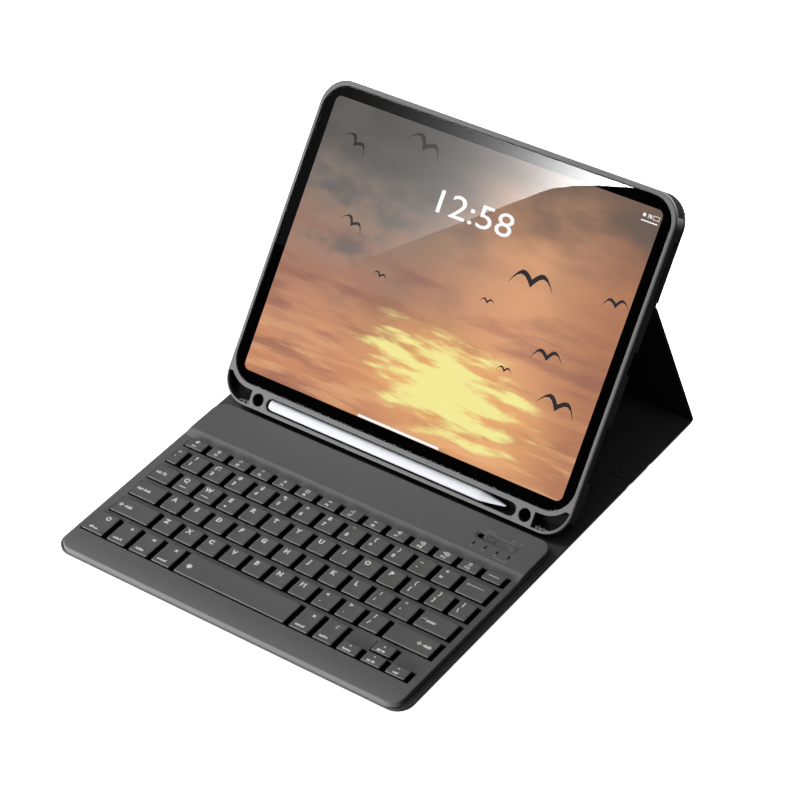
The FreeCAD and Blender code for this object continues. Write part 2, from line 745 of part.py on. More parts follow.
def make_keyboard_inside():
    low = dim("plate_low")
    top = dim("band_top")
    field = ("Dims.field_width", "Dims.field_depth")
    plate("key_support_plate", *field, "Dims.plate_thick", y="Dims.field_y",
          z="Dims.plate_low", radius="Dims.sheet_radius")
    plate("membrane_sheet", *field, "Dims.sheet_thick", y="Dims.field_y",
          z="Dims.plate_low + Dims.plate_thick", radius="Dims.sheet_radius")
    plate("dome_sheet", *field, "Dims.dome_thick", y="Dims.field_y",
          z="Dims.plate_low + Dims.plate_thick + Dims.sheet_thick", radius="Dims.sheet_radius")
    plate("circuit_board", "Dims.circuit_length", "Dims.circuit_width", "Dims.circuit_thick",
          x="Dims.circuit_x", y="Dims.circuit_y", z="Dims.circuit_low", radius="Dims.sheet_radius / 2")
    front = dim("battery_y") - dim("battery_width") / 2
    rear = dim("battery_y") + dim("battery_width") / 2
    cells = [slab(x, x + dim("battery_length"), front, rear, low, low + dim("battery_thick"), 2.0)
             for x in BATTERY_LEFTS]
    add_shape("battery_cells", Part.makeCompound(cells))
    add_shape("indicator_lenses", Part.makeCompound(light_blocks(top - dim("case_wall"), top)))
    discs = [disc(dim("magnet_radius"), dim("magnet_thick"), x, MAGNET_Y, low) for x in MAGNET_XS]
    add_shape("keyboard_magnets", Part.makeCompound(discs))
    pad_thick = dim("bottom_low") - dim("foot_pad_low")
    pads = [disc(dim("foot_pad_radius"), pad_thick, x, y, dim("foot_pad_low")) for x, y in FOOT_PAD_PLACES]
    add_shape("keyboard_feet", Part.makeCompound(pads))


def make_charge_socket():
    """A folded shell on the circuit board, open towards the right-hand wall."""
    length, width, thick, wall = (dim(f"socket_{name}") for name in ("length", "width", "thick", "wall"))
    right = dim("keyboard_width") / 2 - dim("case_wall") - 0.1
    low = dim("circuit_low") + dim("circuit_thick")
    front = dim("control_y") - width / 2
    shell = Part.makeBox(length, width, thick, Vector(right - length, front, low))
    mouth = Part.makeBox(length, width - 2 * wall, thick - 2 * wall,
                         Vector(right - length + 2 * wall, front + wall, low + wall))
    add_shape("charge_socket", shell.cut(mouth))


def make_controls():
    """The sliding switch knob, resting at its slot's right end, and the round push button."""
    top = dim("band_top") - dim("knob_drop")
    y = dim("control_y")
    half = dim("knob_width") / 2
    right = dim("switch_slot_right") - dim("knob_play")
    left = right - dim("knob_length")
    knob = slab(left, right, y - half, y + half, top - dim("knob_thick"), top, half - 0.01)
    margin = dim("groove_margin")
    for n in (-1, 0, 1):
        groove_x = (left + right) / 2 + n * dim("groove_pitch") - dim("groove_width") / 2
        groove = Part.makeBox(dim("groove_width"), dim("knob_width") - 2 * margin, 1.0,
                              Vector(groove_x, y - half + margin, top - dim("groove_depth")))
        knob = knob.cut(groove)
    add_shape("power_switch", knob)
    crown = dim("band_top") + dim("button_rise")
    button = disc(dim("button_radius"), dim("button_thick"), dim("button_x"), y, crown - dim("button_thick"))
    crown_rim = [edge for edge in button.Edges if abs(edge.CenterOfMass.z - crown) < 1e-6]
    add_shape("connect_button", button.makeFillet(dim("button_edge"), crown_rim))


def make_cover_discs():
    """Steel discs let into the front cover's board, under the keyboard's magnets."""
    z = dim("skin_thick")
    radius = dim("magnet_radius") + dim("disc_margin")
    discs = [disc(radius, dim("board_thick"), x, MAGNET_Y, z) for x in MAGNET_XS]
    add_shape("cover_discs", Part.makeCompound(discs))
    board = doc.getObject("front_cover_board")
    up_board = f"{MAGNET_Y} + Dims.flap_front"
    for number, x in enumerate(MAGNET_XS):
        sketch = flat_sketch(board, f"disc_hole_{number}", str(x), up_board,
                             "Dims.skin_thick + Dims.board_thick")
        add_circle(sketch, "Dims.magnet_radius + Dims.disc_margin")
        board.Tip = pocket_down(board, sketch, "Dims.board_thick")


def finish():
    """Checks every object and writes one STEP file for each piece."""
    doc.recompute()
    for item in doc.Objects:
        if {"Invalid", "Error"} & set(item.State):
            raise RuntimeError(f"{item.Label} failed: {item.State}")
    pieces = [item for item in doc.Objects
              if item.isDerivedFrom("PartDesign::Body") or item.TypeId == "Part::Feature"]
    os.makedirs("parts", exist_ok=True)
    for piece in pieces:
        if piece.Shape.isNull() or not piece.Shape.isValid():
            raise RuntimeError(f"{piece.Label} has a bad shape")
    for piece in pieces:
        piece.Shape.exportStep(f"parts/{piece.Label}.step")
    print(len(pieces), "pieces written")


make_folio()
cut_camera_windows()
make_cover_discs()
make_tray()
make_tablet()
make_stylus()
make_keyboard_case()
make_keyboard_inside()
make_charge_socket()
make_controls()
make_keys()
finish()
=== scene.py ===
"""Looks for a folio keyboard case that holds a tablet and a stylus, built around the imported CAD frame."""

import json
import math

import bmesh
import bpy
import numpy as np
from mathutils import Matrix, Vector


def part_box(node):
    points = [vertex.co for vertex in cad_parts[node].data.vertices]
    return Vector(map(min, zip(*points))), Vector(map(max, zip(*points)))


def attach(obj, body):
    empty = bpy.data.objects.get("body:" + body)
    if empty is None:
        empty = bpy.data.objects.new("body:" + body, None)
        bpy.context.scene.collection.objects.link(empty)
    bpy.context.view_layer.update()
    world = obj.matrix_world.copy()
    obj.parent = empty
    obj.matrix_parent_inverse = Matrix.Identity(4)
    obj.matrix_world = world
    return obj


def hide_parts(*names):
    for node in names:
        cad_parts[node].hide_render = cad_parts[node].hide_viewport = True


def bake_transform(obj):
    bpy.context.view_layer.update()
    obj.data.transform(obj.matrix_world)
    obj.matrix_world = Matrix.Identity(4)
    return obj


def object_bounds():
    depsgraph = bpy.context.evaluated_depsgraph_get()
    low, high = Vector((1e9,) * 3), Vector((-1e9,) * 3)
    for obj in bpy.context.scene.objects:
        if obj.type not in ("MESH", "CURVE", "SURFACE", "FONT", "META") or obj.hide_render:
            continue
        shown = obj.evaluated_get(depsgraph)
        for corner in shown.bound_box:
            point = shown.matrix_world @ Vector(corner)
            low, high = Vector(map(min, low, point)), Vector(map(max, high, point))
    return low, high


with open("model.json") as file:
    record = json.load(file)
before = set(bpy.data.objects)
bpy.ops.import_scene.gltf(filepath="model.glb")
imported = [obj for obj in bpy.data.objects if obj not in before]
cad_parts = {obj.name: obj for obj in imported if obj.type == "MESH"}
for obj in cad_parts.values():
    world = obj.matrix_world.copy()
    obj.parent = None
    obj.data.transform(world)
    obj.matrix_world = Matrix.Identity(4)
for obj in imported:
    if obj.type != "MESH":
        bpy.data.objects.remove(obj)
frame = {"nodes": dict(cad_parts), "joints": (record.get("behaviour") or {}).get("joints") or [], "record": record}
CAD_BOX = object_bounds()
MM = 0.001

# ---------------------------------------------------------------- colours, as a paint chart gives them

def srgb(red, green, blue):
    """A colour given in 0-255 steps, as the linear colour that shaders take."""
    def linear(step):
        share = step / 255
        return share / 12.92 if share <= 0.04045 else ((share + 0.055) / 1.055) ** 2.4
    return (linear(red), linear(green), linear(blue), 1.0)


# ---------------------------------------------------------------- reading the frame

def node_points(name):
    """The corners of a CAD node's mesh, in metres, one row each."""
    mesh = frame["nodes"][name].data
    flat = np.empty(len(mesh.vertices) * 3)
    mesh.vertices.foreach_get("co", flat)
    return flat.reshape(-1, 3)


def find_joint(name):
    return next(item for item in frame["joints"] if item["name"] == name)


def joint_place(name):
    return Vector(find_joint(name)["pos_m"])


# ---------------------------------------------------------------- the tray's own plane

def tray_matrix():
    """The tray's frame: X across, Y up its back, Z out of the screen, from the tablet's own lift axis."""
    out = Vector(find_joint("tablet_lift")["axis"]).normalized()
    across = Vector((1, 0, 0))
    along = out.cross(across)
    points = node_points("tablet_tray")
    low_along = (points @ np.array(along)).min()
    low_out = (points @ np.array(out)).min()
    corner = along * low_along + out * low_out
    rotation = Matrix((across, along, out)).transposed().to_4x4()
    return Matrix.Translation(corner) @ rotation


TRAY = tray_matrix()
TO_TRAY = TRAY.inverted()


def tray_box(name):
    """The lowest and highest corners of a CAD node in the tray's own frame."""
    rotation = np.array(TO_TRAY.to_3x3())
    points = node_points(name) @ rotation.T + np.array(TO_TRAY.translation)
    return Vector(points.min(0)), Vector(points.max(0))


# ---------------------------------------------------------------- material helpers

def new_material(name, colour, roughness, specular=0.5, metallic=0.0):
    material = bpy.data.materials.new(name)
    material.use_nodes = True
    shader = material.node_tree.nodes["Principled BSDF"]
    shader.inputs["Base Color"].default_value = colour
    shader.inputs["Roughness"].default_value = roughness
    shader.inputs["Specular IOR Level"].default_value = specular
    shader.inputs["Metallic"].default_value = metallic
    return material


def add_node(material, kind, **settings):
    node = material.node_tree.nodes.new(kind)
    for name, value in settings.items():
        setattr(node, name, value)
    return node


def link(material, source, target):
    material.node_tree.links.new(source, target)


def object_coordinates(material, stretch=(1, 1, 1), turn=0.0):
    """Places on the piece in metres, stretched along each axis and turned about Z by degrees."""
    place = add_node(material, "ShaderNodeTexCoord")
    mapping = add_node(material, "ShaderNodeMapping")
    mapping.inputs["Scale"].default_value = stretch
    mapping.inputs["Rotation"].default_value = (0, 0, math.radians(turn))
    link(material, place.outputs["Object"], mapping.inputs["Vector"])
    return mapping.outputs["Vector"]


def noise(material, vector, size, detail=3.0, roughness=0.55):
    """Cloudy noise whose patches are about size metres across."""
    node = add_node(material, "ShaderNodeTexNoise")
    node.inputs["Scale"].default_value = 1 / size
    node.inputs["Detail"].default_value = detail
    node.inputs["Roughness"].default_value = roughness
    link(material, vector, node.inputs["Vector"])
    return node.outputs["Fac"]


def cells(material, vector, size):
    """Cells about size metres across, dark at their middles."""
    node = add_node(material, "ShaderNodeTexVoronoi", feature="F1")
    node.inputs["Scale"].default_value = 1 / size
    link(material, vector, node.inputs["Vector"])
    return node.outputs["Distance"]


def to_range(material, value, low, high, from_low=0.0, from_high=1.0, smooth=False):
    node = add_node(material, "ShaderNodeMapRange")
    if smooth:
        node.interpolation_type = "SMOOTHSTEP"
    node.inputs["From Min"].default_value = from_low
    node.inputs["From Max"].default_value = from_high
    node.inputs["To Min"].default_value = low
    node.inputs["To Max"].default_value = high
    link(material, value, node.inputs["Value"])
    return node.outputs["Result"]


def calculate(material, operation, first, second):
    """One sum on two sockets, or on a socket and a number."""
    node = add_node(material, "ShaderNodeMath", operation=operation)
    for socket, value in zip(node.inputs, (first, second)):
        if isinstance(value, (int, float)):
            socket.default_value = value
        else:
            link(material, value, socket)
    return node.outputs["Value"]


def mix_colours(material, share, first, second):
    node = add_node(material, "ShaderNodeMix", data_type="RGBA")
    if isinstance(share, (int, float)):
        node.inputs["Factor"].default_value = share
    else:
        link(material, share, node.inputs["Factor"])
    for name, value in (("A", first), ("B", second)):
        socket = next(item for item in node.inputs if item.name == name and item.type == "RGBA")
        if isinstance(value, tuple):
            socket.default_value = value
        else:
            link(material, value, socket)
    return next(item for item in node.outputs if item.type == "RGBA")


def scaled(colour, share):
    return tuple(channel * share for channel in colour[:3]) + (1.0,)


def vary_colour(material, pattern, colour, spread):
    """The base colour goes up and down by spread with the pattern."""
    shader = material.node_tree.nodes["Principled BSDF"]
    mixed = mix_colours(material, pattern, scaled(colour, 1 - spread), scaled(colour, 1 + spread))
    link(material, mixed, shader.inputs["Base Color"])


def vary_roughness(material, pattern, low, high):
    shader = material.node_tree.nodes["Principled BSDF"]
    link(material, to_range(material, pattern, low, high), shader.inputs["Roughness"])


def add_bump(material, height, depth, rounding=0.0):
    """Surface relief of depth metres, with the piece's hard edges rounded over in shading."""
    shader = material.node_tree.nodes["Principled BSDF"]
    bump = add_node(material, "ShaderNodeBump")
    bump.inputs["Distance"].default_value = depth
    bump.inputs["Strength"].default_value = 1.0
    link(material, height, bump.inputs["Height"])
    if rounding:
        bevel = add_node(material, "ShaderNodeBevel", samples=4)
        bevel.inputs["Radius"].default_value = rounding
        link(material, bevel.outputs["Normal"], bump.inputs["Normal"])
    link(material, bump.outputs["Normal"], shader.inputs["Normal"])


# ---------------------------------------------------------------- materials

def moulded_plastic(name, colour, roughness, grain=0.5 * MM, relief=0.03 * MM, specular=0.4,
                    spread=0.06, rounding=0.0):
    """Spark-textured moulding: fine pits, slightly uneven gloss and faint flow marks."""
    material = new_material(name, colour, roughness, specular)
    place = object_coordinates(material)
    pits = noise(material, place, grain, detail=4.0)
    flow = noise(material, place, 22 * MM, detail=2.0)
    vary_colour(material, flow, colour, spread)
    vary_roughness(material, pits, roughness - 0.08, roughness + 0.08)
    add_bump(material, pits, relief, rounding=rounding)
    return material


def paint_shade_inside(material, dark):
    """The tray's slots and openings, away from its outer walls, get painted shade: their colour turns darker
    deeper in, standing in for the shadow there.
    """
    shader = material.node_tree.nodes["Principled BSDF"]
    plain = shader.inputs["Base Color"].links[0].from_socket
    place = add_node(material, "ShaderNodeTexCoord")
    turn = add_node(material, "ShaderNodeMapping")
    turn.inputs["Rotation"].default_value = TO_TRAY.to_euler()
    turn.inputs["Location"].default_value = TO_TRAY.translation
    link(material, place.outputs["Object"], turn.inputs["Vector"])
    split = add_node(material, "ShaderNodeSeparateXYZ")
    link(material, turn.outputs["Vector"], split.inputs["Vector"])
    wall = 1.4 * MM
    plain_depth, dark_depth = 1.2 * MM, 2.6 * MM
    low, high = tray_box("tablet_tray")
    # painted shade: full at the bottom of the slots and openings, none near their rims
    deep = to_range(material, split.outputs["Z"], 1.0, 0.0, high.z - dark_depth, high.z - plain_depth)
    from_middle = calculate(material, "ABSOLUTE", split.outputs["X"], 0.0)
    inward = calculate(material, "LESS_THAN", from_middle, high.x - wall)
    upward = calculate(material, "GREATER_THAN", split.outputs["Y"], low.y + wall)
    share = calculate(material, "MULTIPLY", deep, calculate(material, "MULTIPLY", inward, upward))
    link(material, mix_colours(material, share, plain, dark), shader.inputs["Base Color"])


def leather(name, colour, roughness, grain=0.9 * MM):
    """Pressed leather-look skin: pebbled cells, broken by finer creases and a soft sheen."""
    material = new_material(name, colour, roughness, 0.28)
    shader = material.node_tree.nodes["Principled BSDF"]
    place = object_coordinates(material)
    pebbles = cells(material, place, grain)
    creases = noise(material, place, grain * 2.4, detail=6.0, roughness=0.7)
    relief = calculate(material, "ADD", pebbles, calculate(material, "MULTIPLY", creases, 1.6))
    vary_colour(material, noise(material, place, 30 * MM), colour, 0.12)
    vary_roughness(material, pebbles, roughness - 0.07, roughness + 0.1)
    shader.inputs["Sheen Weight"].default_value = 0.08
    add_bump(material, relief, 0.16 * MM)
    return material


def felt(name, colour):
    """Brushed lining: short fibres lying one way, over a soft mottle."""
    material = new_material(name, colour, 0.92, 0.2)
    shader = material.node_tree.nodes["Principled BSDF"]
    fibres = noise(material, object_coordinates(material, (1, 0.25, 1), 12), 0.35 * MM, detail=5.0)
    mottle = noise(material, object_coordinates(material), 6 * MM)
    vary_colour(material, mottle, colour, 0.18)
    shader.inputs["Sheen Weight"].default_value = 0.25
    shader.inputs["Sheen Roughness"].default_value = 0.6
    add_bump(material, fibres, 0.08 * MM)
    return material


def brushed_metal(name, colour, roughness, across=(1, 12, 12)):
    material = new_material(name, colour, roughness, 0.5, 1.0)
    lines = noise(material, object_coordinates(material, across), 1.2 * MM, detail=2.0)
    vary_roughness(material, lines, roughness - 0.06, roughness + 0.08)
    vary_colour(material, lines, colour, 0.05)
    add_bump(material, lines, 0.01 * MM)
    return material


def fibre_board(name, colour):
    material = new_material(name, colour, 0.9, 0.2)
    fibres = noise(material, object_coordinates(material, (1, 3, 3)), 0.8 * MM, detail=5.0)
    vary_colour(material, fibres, colour, 0.2)
    add_bump(material, fibres, 0.06 * MM)
    return material


def clear_film(name, colour):
    material = new_material(name, colour, 0.35, 0.5)
    ripple = noise(material, object_coordinates(material), 9 * MM)
    vary_colour(material, ripple, colour, 0.08)
    add_bump(material, ripple, 0.05 * MM)
    return material


def circuit_laminate(name, colour):
    """Black laminate with copper runs that show faintly under the resist."""
    material = new_material(name, colour, 0.4, 0.5)
    runs = cells(material, object_coordinates(material, (1, 4, 1)), 3 * MM)
    share = to_range(material, runs, 0.0, 1.0, 0.25, 0.3)
    shader = material.node_tree.nodes["Principled BSDF"]
    link(material, mix_colours(material, share, scaled(colour, 1.9), colour), shader.inputs["Base Color"])
    add_bump(material, share, 0.03 * MM)
    return material


def screen_glass(name):
    material = new_material(name, (1, 1, 1, 1), 0.0, 0.5)
    shader = material.node_tree.nodes["Principled BSDF"]
    shader.inputs["Transmission Weight"].default_value = 1.0
    shader.inputs["IOR"].default_value = 1.5
    return material


def glowing(name, colour, strength):
    material = new_material(name, (0, 0, 0, 1), 0.6, 0.0)
    shader = material.node_tree.nodes["Principled BSDF"]
    shader.inputs["Emission Color"].default_value = colour
    shader.inputs["Emission Strength"].default_value = strength
    return material


def sky_picture(name, low, high):
    """A generic evening sky for the screen: haze above, warm cloud below and a bright low sun."""
    material = new_material(name, (0, 0, 0, 1), 0.6, 0.0)
    shader = material.node_tree.nodes["Principled BSDF"]
    place = object_coordinates(material)
    split = add_node(material, "ShaderNodeSeparateXYZ")
    link(material, place, split.inputs["Vector"])
    across = to_range(material, split.outputs["X"], 0, 1, low.x, high.x)
    height = to_range(material, split.outputs["Y"], 0, 1, low.y, high.y)

    drift = noise(material, object_coordinates(material, (1, 2.2, 1), 14), 60 * MM, detail=5.0)
    wobble = calculate(material, "MULTIPLY", calculate(material, "SUBTRACT", drift, 0.5), 0.45)
    level = calculate(material, "ADD", height, wobble)
    bands = add_node(material, "ShaderNodeValToRGB")
    stops = ((0.0, srgb(206, 142, 106)), (0.2, srgb(214, 152, 116)), (0.42, srgb(178, 132, 112)),
             (0.6, srgb(158, 134, 118)), (0.78, srgb(132, 122, 116)), (1.0, srgb(84, 92, 100)))
    while len(bands.color_ramp.elements) < len(stops):
        bands.color_ramp.elements.new(0.5)
    for element, (position, colour) in zip(bands.color_ramp.elements, stops):
        element.position = position
        element.color = colour
    link(material, level, bands.inputs["Fac"])
    sky = bands.outputs["Color"]

    # the right-hand side is warmer, and darkens again at the edge
    warm_share = to_range(material, across, 0.0, 0.85, 0.35, 0.72, smooth=True)
    sky = mix_colours(material, warm_share, sky, srgb(236, 172, 128))
    edge_share = to_range(material, across, 0.0, 0.75, 0.72, 1.0, smooth=True)
    sky = mix_colours(material, edge_share, sky, srgb(168, 112, 86))
    top_share = to_range(material, level, 0.0, 0.85, 0.66, 0.98, smooth=True)
    sky = mix_colours(material, top_share, sky, srgb(96, 91, 86))

    # banks of grey cloud drifting across the left
    bank = noise(material, object_coordinates(material, (1, 1.7, 1), -20), 48 * MM, detail=6.0)
    bank_share = to_range(material, bank, 0.0, 0.75, 0.48, 0.66, smooth=True)
    left_share = to_range(material, across, 1.0, 0.15, 0.2, 0.62, smooth=True)
    above = to_range(material, height, 0.0, 1.0, 0.25, 0.5, smooth=True)
    bank_place = calculate(material, "MULTIPLY", left_share, above)
    bank_share = calculate(material, "MULTIPLY", bank_share, bank_place)
    sky = mix_colours(material, bank_share, sky, srgb(104, 104, 104))

    # dusky bands between them lower down
    dusk = noise(material, object_coordinates(material, (0.3, 1.6, 1), 31), 26 * MM, detail=6.0)
    dusk_share = to_range(material, dusk, 0.0, 0.62, 0.48, 0.64, smooth=True)
    low_down = to_range(material, height, 1.0, 0.0, 0.35, 0.75, smooth=True)
    dusk_share = calculate(material, "MULTIPLY", dusk_share, low_down)
    sky = mix_colours(material, dusk_share, sky, srgb(152, 104, 92))

    # long thin streaks of lit cloud near the ground
    streaks = noise(material, object_coordinates(material, (0.22, 1.9, 1), 9), 12 * MM, detail=6.0)
    streak_share = to_range(material, streaks, 0.0, 0.5, 0.45, 0.62, smooth=True)
    ground = to_range(material, height, 1.0, 0.0, 0.05, 0.4, smooth=True)
    streak_share = calculate(material, "MULTIPLY", streak_share, ground)
    sky = mix_colours(material, streak_share, sky, srgb(246, 190, 140))

    # the sun's glow, broken into patches by the streaks
    from_sun_x = calculate(material, "SUBTRACT", across, 0.60)
    from_sun_y = calculate(material, "MULTIPLY", calculate(material, "SUBTRACT", height, 0.20), 1.55)
    slant = calculate(material, "ADD", from_sun_y, calculate(material, "MULTIPLY", from_sun_x, 0.28))
    squares = calculate(material, "ADD", calculate(material, "MULTIPLY", from_sun_x, from_sun_x),
                        calculate(material, "MULTIPLY", slant, slant))
    distance = calculate(material, "SQRT", squares, 0.0)
    glow = to_range(material, distance, 1.0, 0.0, 0.03, 0.42, smooth=True)
    sky = mix_colours(material, calculate(material, "MULTIPLY", glow, 0.75), sky, srgb(250, 186, 112))
    patches = noise(material, object_coordinates(material, (0.3, 1.6, 1), 14), 12 * MM, detail=7.0)
    core = to_range(material, distance, 0.26, -0.12, 0.02, 0.34)
    lit = to_range(material, calculate(material, "ADD", patches, core), 0.0, 1.0, 0.46, 0.66, smooth=True)
    near_sun = to_range(material, distance, 1.0, 0.0, 0.24, 0.36, smooth=True)
    lit = calculate(material, "MULTIPLY", lit, near_sun)
    sky = mix_colours(material, lit, sky, srgb(253, 243, 158))

    link(material, sky, shader.inputs["Emission Color"])
    shader.inputs["Emission Strength"].default_value = 1.0
    return material


DECK_GREY = srgb(118, 118, 119)
KEY_GREY = srgb(114, 114, 114)

MATERIALS = {
    "cover_leather": leather("cover_leather", srgb(40, 40, 41), 0.5, grain=1.3 * MM),
    "cover_lining": leather("cover_lining", srgb(88, 88, 89), 0.66, grain=0.9 * MM),
    "stiffener_board": fibre_board("stiffener_board", srgb(92, 88, 82)),
    "tray_plastic": moulded_plastic("tray_plastic", srgb(112, 112, 112), 0.5, rounding=0.2 * MM),
    "tray_felt": felt("tray_felt", srgb(44, 44, 46)),
    "glue_film": clear_film("glue_film", srgb(190, 188, 178)),
    "deck_plastic": moulded_plastic("deck_plastic", DECK_GREY, 0.55, rounding=0.2 * MM),
    "keycap_plastic": moulded_plastic("keycap_plastic", KEY_GREY, 0.55, grain=0.4 * MM),
    # The dome sheet is a real part; its near-black colour also stands in for the shadow in the gaps between the
    # keys, where it shows.
    "dome_rubber": moulded_plastic("dome_rubber", srgb(8, 8, 8), 0.75, specular=0.2),
    "support_steel": brushed_metal("support_steel", srgb(150, 152, 155), 0.35),
    "membrane_film": clear_film("membrane_film", srgb(120, 130, 128)),
    "circuit_laminate": circuit_laminate("circuit_laminate", srgb(14, 15, 15)),
    "battery_foil": brushed_metal("battery_foil", srgb(178, 180, 184), 0.3, (1, 2, 1)),
    "socket_metal": brushed_metal("socket_metal", srgb(160, 162, 166), 0.28),
    "lens_plastic": moulded_plastic("lens_plastic", srgb(6, 6, 7), 0.2, relief=0.005 * MM),
    "screw_steel": brushed_metal("screw_steel", srgb(120, 122, 126), 0.3),
    "magnet_plating": brushed_metal("magnet_plating", srgb(190, 190, 194), 0.2),
    "foot_rubber": moulded_plastic("foot_rubber", srgb(24, 24, 24), 0.85, specular=0.2),
    "switch_plastic": moulded_plastic("switch_plastic", srgb(116, 116, 117), 0.5, rounding=0.2 * MM),
    "tablet_metal": brushed_metal("tablet_metal", srgb(96, 98, 102), 0.35, (8, 1, 8)),
    "tablet_inside": brushed_metal("tablet_inside", srgb(70, 72, 74), 0.5),
    "tablet_screen": moulded_plastic("tablet_screen", srgb(10, 10, 12), 0.3),
    "tablet_glass": screen_glass("tablet_glass"),
    "stylus_plastic": moulded_plastic("stylus_plastic", srgb(204, 205, 210), 0.3, relief=0.004 * MM,
                                      specular=0.5, spread=0.01),
}
# Painted shade in the tray's slots and openings: near-black deeper in.
paint_shade_inside(MATERIALS["tray_plastic"], srgb(30, 30, 31))
# Near-black painted shade for the sides of the key caps, standing in for the shadow in the gaps between the keys.
CAP_SIDE_SHADE = moulded_plastic("cap_side_painted_shade", srgb(12, 12, 12), 0.75, specular=0.15)
SCREEN_BORDER = moulded_plastic("screen_border", srgb(1, 1, 1), 0.5, relief=0.004 * MM, specular=0.0)
LEGEND_WHITE = moulded_plastic("legend_paint", srgb(255, 255, 254), 0.6, relief=0.01 * MM)
# Near-white painted highlight for the tray's corner ribs, which belong to the mid-grey tray moulding.
RIB_PAINTED_HIGHLIGHT = moulded_plastic("rib_painted_highlight", srgb(232, 232, 230), 0.45)
LEGEND_FAINT = moulded_plastic("faint_paint", srgb(178, 178, 178), 0.6, relief=0.01 * MM)
SCREEN_WHITE = glowing("screen_white", srgb(255, 255, 255), 1.05)
SCREEN_DARK = glowing("screen_dark", srgb(52, 50, 52), 1.0)


def paint_cad_nodes():
    """Every CAD node gets the full material of the slot that it was packed with."""
    for slot_name, material in MATERIALS.items():
        material.name = f"{slot_name}_look"
    for mesh_object in frame["nodes"].values():
        slot_name = mesh_object.data.materials[0].name
        for slot in mesh_object.material_slots:
            slot.link = "OBJECT"
            slot.material = MATERIALS[slot_name]


# ---------------------------------------------------------------- mesh helpers

def keep_caps_flat(mesh):
    """The broad many-sided faces stay flat up to their rims, so that they mirror without bending."""
    many_sides = 40
    rims = set()
    for face in mesh.polygons:
        if face.loop_total > many_sides:
            face.use_smooth = False
            rims.update(face.edge_keys)
    for edge in mesh.edges:
        if edge.key in rims:
            edge.use_edge_sharp = True


def add_mesh(name, bm, material, body, place=Matrix.Identity(4), replaces=(), smooth_angle=35,
             second=None):
    """A finished piece: its mesh, finish, body and the CAD nodes it stands for."""
    mesh = bpy.data.meshes.new(name)
    bmesh.ops.recalc_face_normals(bm, faces=bm.faces)
    bm.to_mesh(mesh)
    bm.free()
    mesh.materials.append(material)
    if second:
        mesh.materials.append(second)
    piece = bpy.data.objects.new(name, mesh)
    bpy.context.scene.collection.objects.link(piece)
    piece.matrix_world = place
    if smooth_angle:
        mesh.shade_smooth()
        mesh.set_sharp_from_angle(angle=math.radians(smooth_angle))
        keep_caps_flat(mesh)
    if body:
        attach(piece, body)
    if replaces:
        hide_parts(*replaces)
    return piece


def rounded_outline(low, high, radii, inset=0.0, steps=5):
    """Points round a rectangle, counter-clockwise from the lower left, with a radius at each corner."""
    x0, y0 = low[0] + inset, low[1] + inset
    x1, y1 = high[0] - inset, high[1] - inset
    corners = ((x0, y0, 180), (x1, y0, 270), (x1, y1, 0), (x0, y1, 90))
    points = []
    for (x, y, start), full in zip(corners, radii):
        radius = max(full - inset, 0.05 * MM)
        centre_x = x + (radius if x == x0 else -radius)
        centre_y = y + (radius if y == y0 else -radius)
        for step in range(steps + 1):
            angle = math.radians(start + 90 * step / steps)
            points.append((centre_x + radius * math.cos(angle), centre_y + radius * math.sin(angle)))
    return points


def loft(bm, rings, close_low=True, close_high=True):
    """Skins between rings of equally many points and caps the two ends."""
    made = [[bm.verts.new(point) for point in ring] for ring in rings]
    count = len(made[0])
    for lower, upper in zip(made, made[1:]):
        for k in range(count):
            bm.faces.new((lower[k], lower[(k + 1) % count], upper[(k + 1) % count], upper[k]))
    if close_low:
        bm.faces.new(made[0][::-1])
    if close_high:
        bm.faces.new(made[-1])


def rounded_slab(bm, low, high, radii, profile, steps=5):
    """A slab whose outline is inset as it rises: profile is (height, inset) from low to high."""
    rings = []
    for height, inset in profile:
        rings.append([(x, y, height) for x, y in rounded_outline(low, high, radii, inset, steps)])
    loft(bm, rings)


def text_points(text, height, bold=0.0):
    """A flat mesh of the words, their capitals height metres tall, centred on the origin."""
    curve = bpy.data.curves.new("words", "FONT")
    curve.body = text
    curve.resolution_u = 3
    curve.offset = bold
    curve.align_x = "CENTER"
    helper = bpy.data.objects.new("words", curve)
    bpy.context.scene.collection.objects.link(helper)
    mesh = bpy.data.meshes.new_from_object(helper)
    bpy.data.objects.remove(helper)
    bpy.data.curves.remove(curve)
    capital = 0.69
    scale = height / capital
    for vertex in mesh.vertices:
        vertex.co = Vector((vertex.co.x * scale, vertex.co.y * scale - height / 2, 0))
    return mesh


def add_text(bm, text, height, x, y, z, bold=0.0, width=None):
    """Adds words to bm, centred at x, y, z; width squeezes or stretches them to that length."""
    mesh = text_points(text, height, bold)
    if width:
        spread = [vertex.co.x for vertex in mesh.vertices]
        stretch = width / (max(spread) - min(spread))
        middle = (max(spread) + min(spread)) / 2
        for vertex in mesh.vertices:
            vertex.co.x = (vertex.co.x - middle) * stretch
    mesh.transform(Matrix.Translation((x, y, z)))
    bm.from_mesh(mesh)
    bpy.data.meshes.remove(mesh)


def add_bar(bm, x0, x1, y0, y1, z):
    """A flat rectangle at height z."""
    corners = ((x0, y0), (x1, y0), (x1, y1), (x0, y1))
    bm.faces.new([bm.verts.new((x, y, z)) for x, y in corners])


# ---------------------------------------------------------------- the keys

# A cap's outline in millimetres: heights above its foot and below its top, each with its inset.
CAP_FOOT = ((0.02, 0.10), (0.12, 0.0))
CAP_TOP = ((-1.10, 0.05), (-0.42, 0.16), (-0.16, 0.30), (-0.03, 0.50), (0.0, 0.85), (-0.07, 2.4))
CAP_RADIUS = 1.1 * MM
CAP_SHOULDER = 0.5 * MM


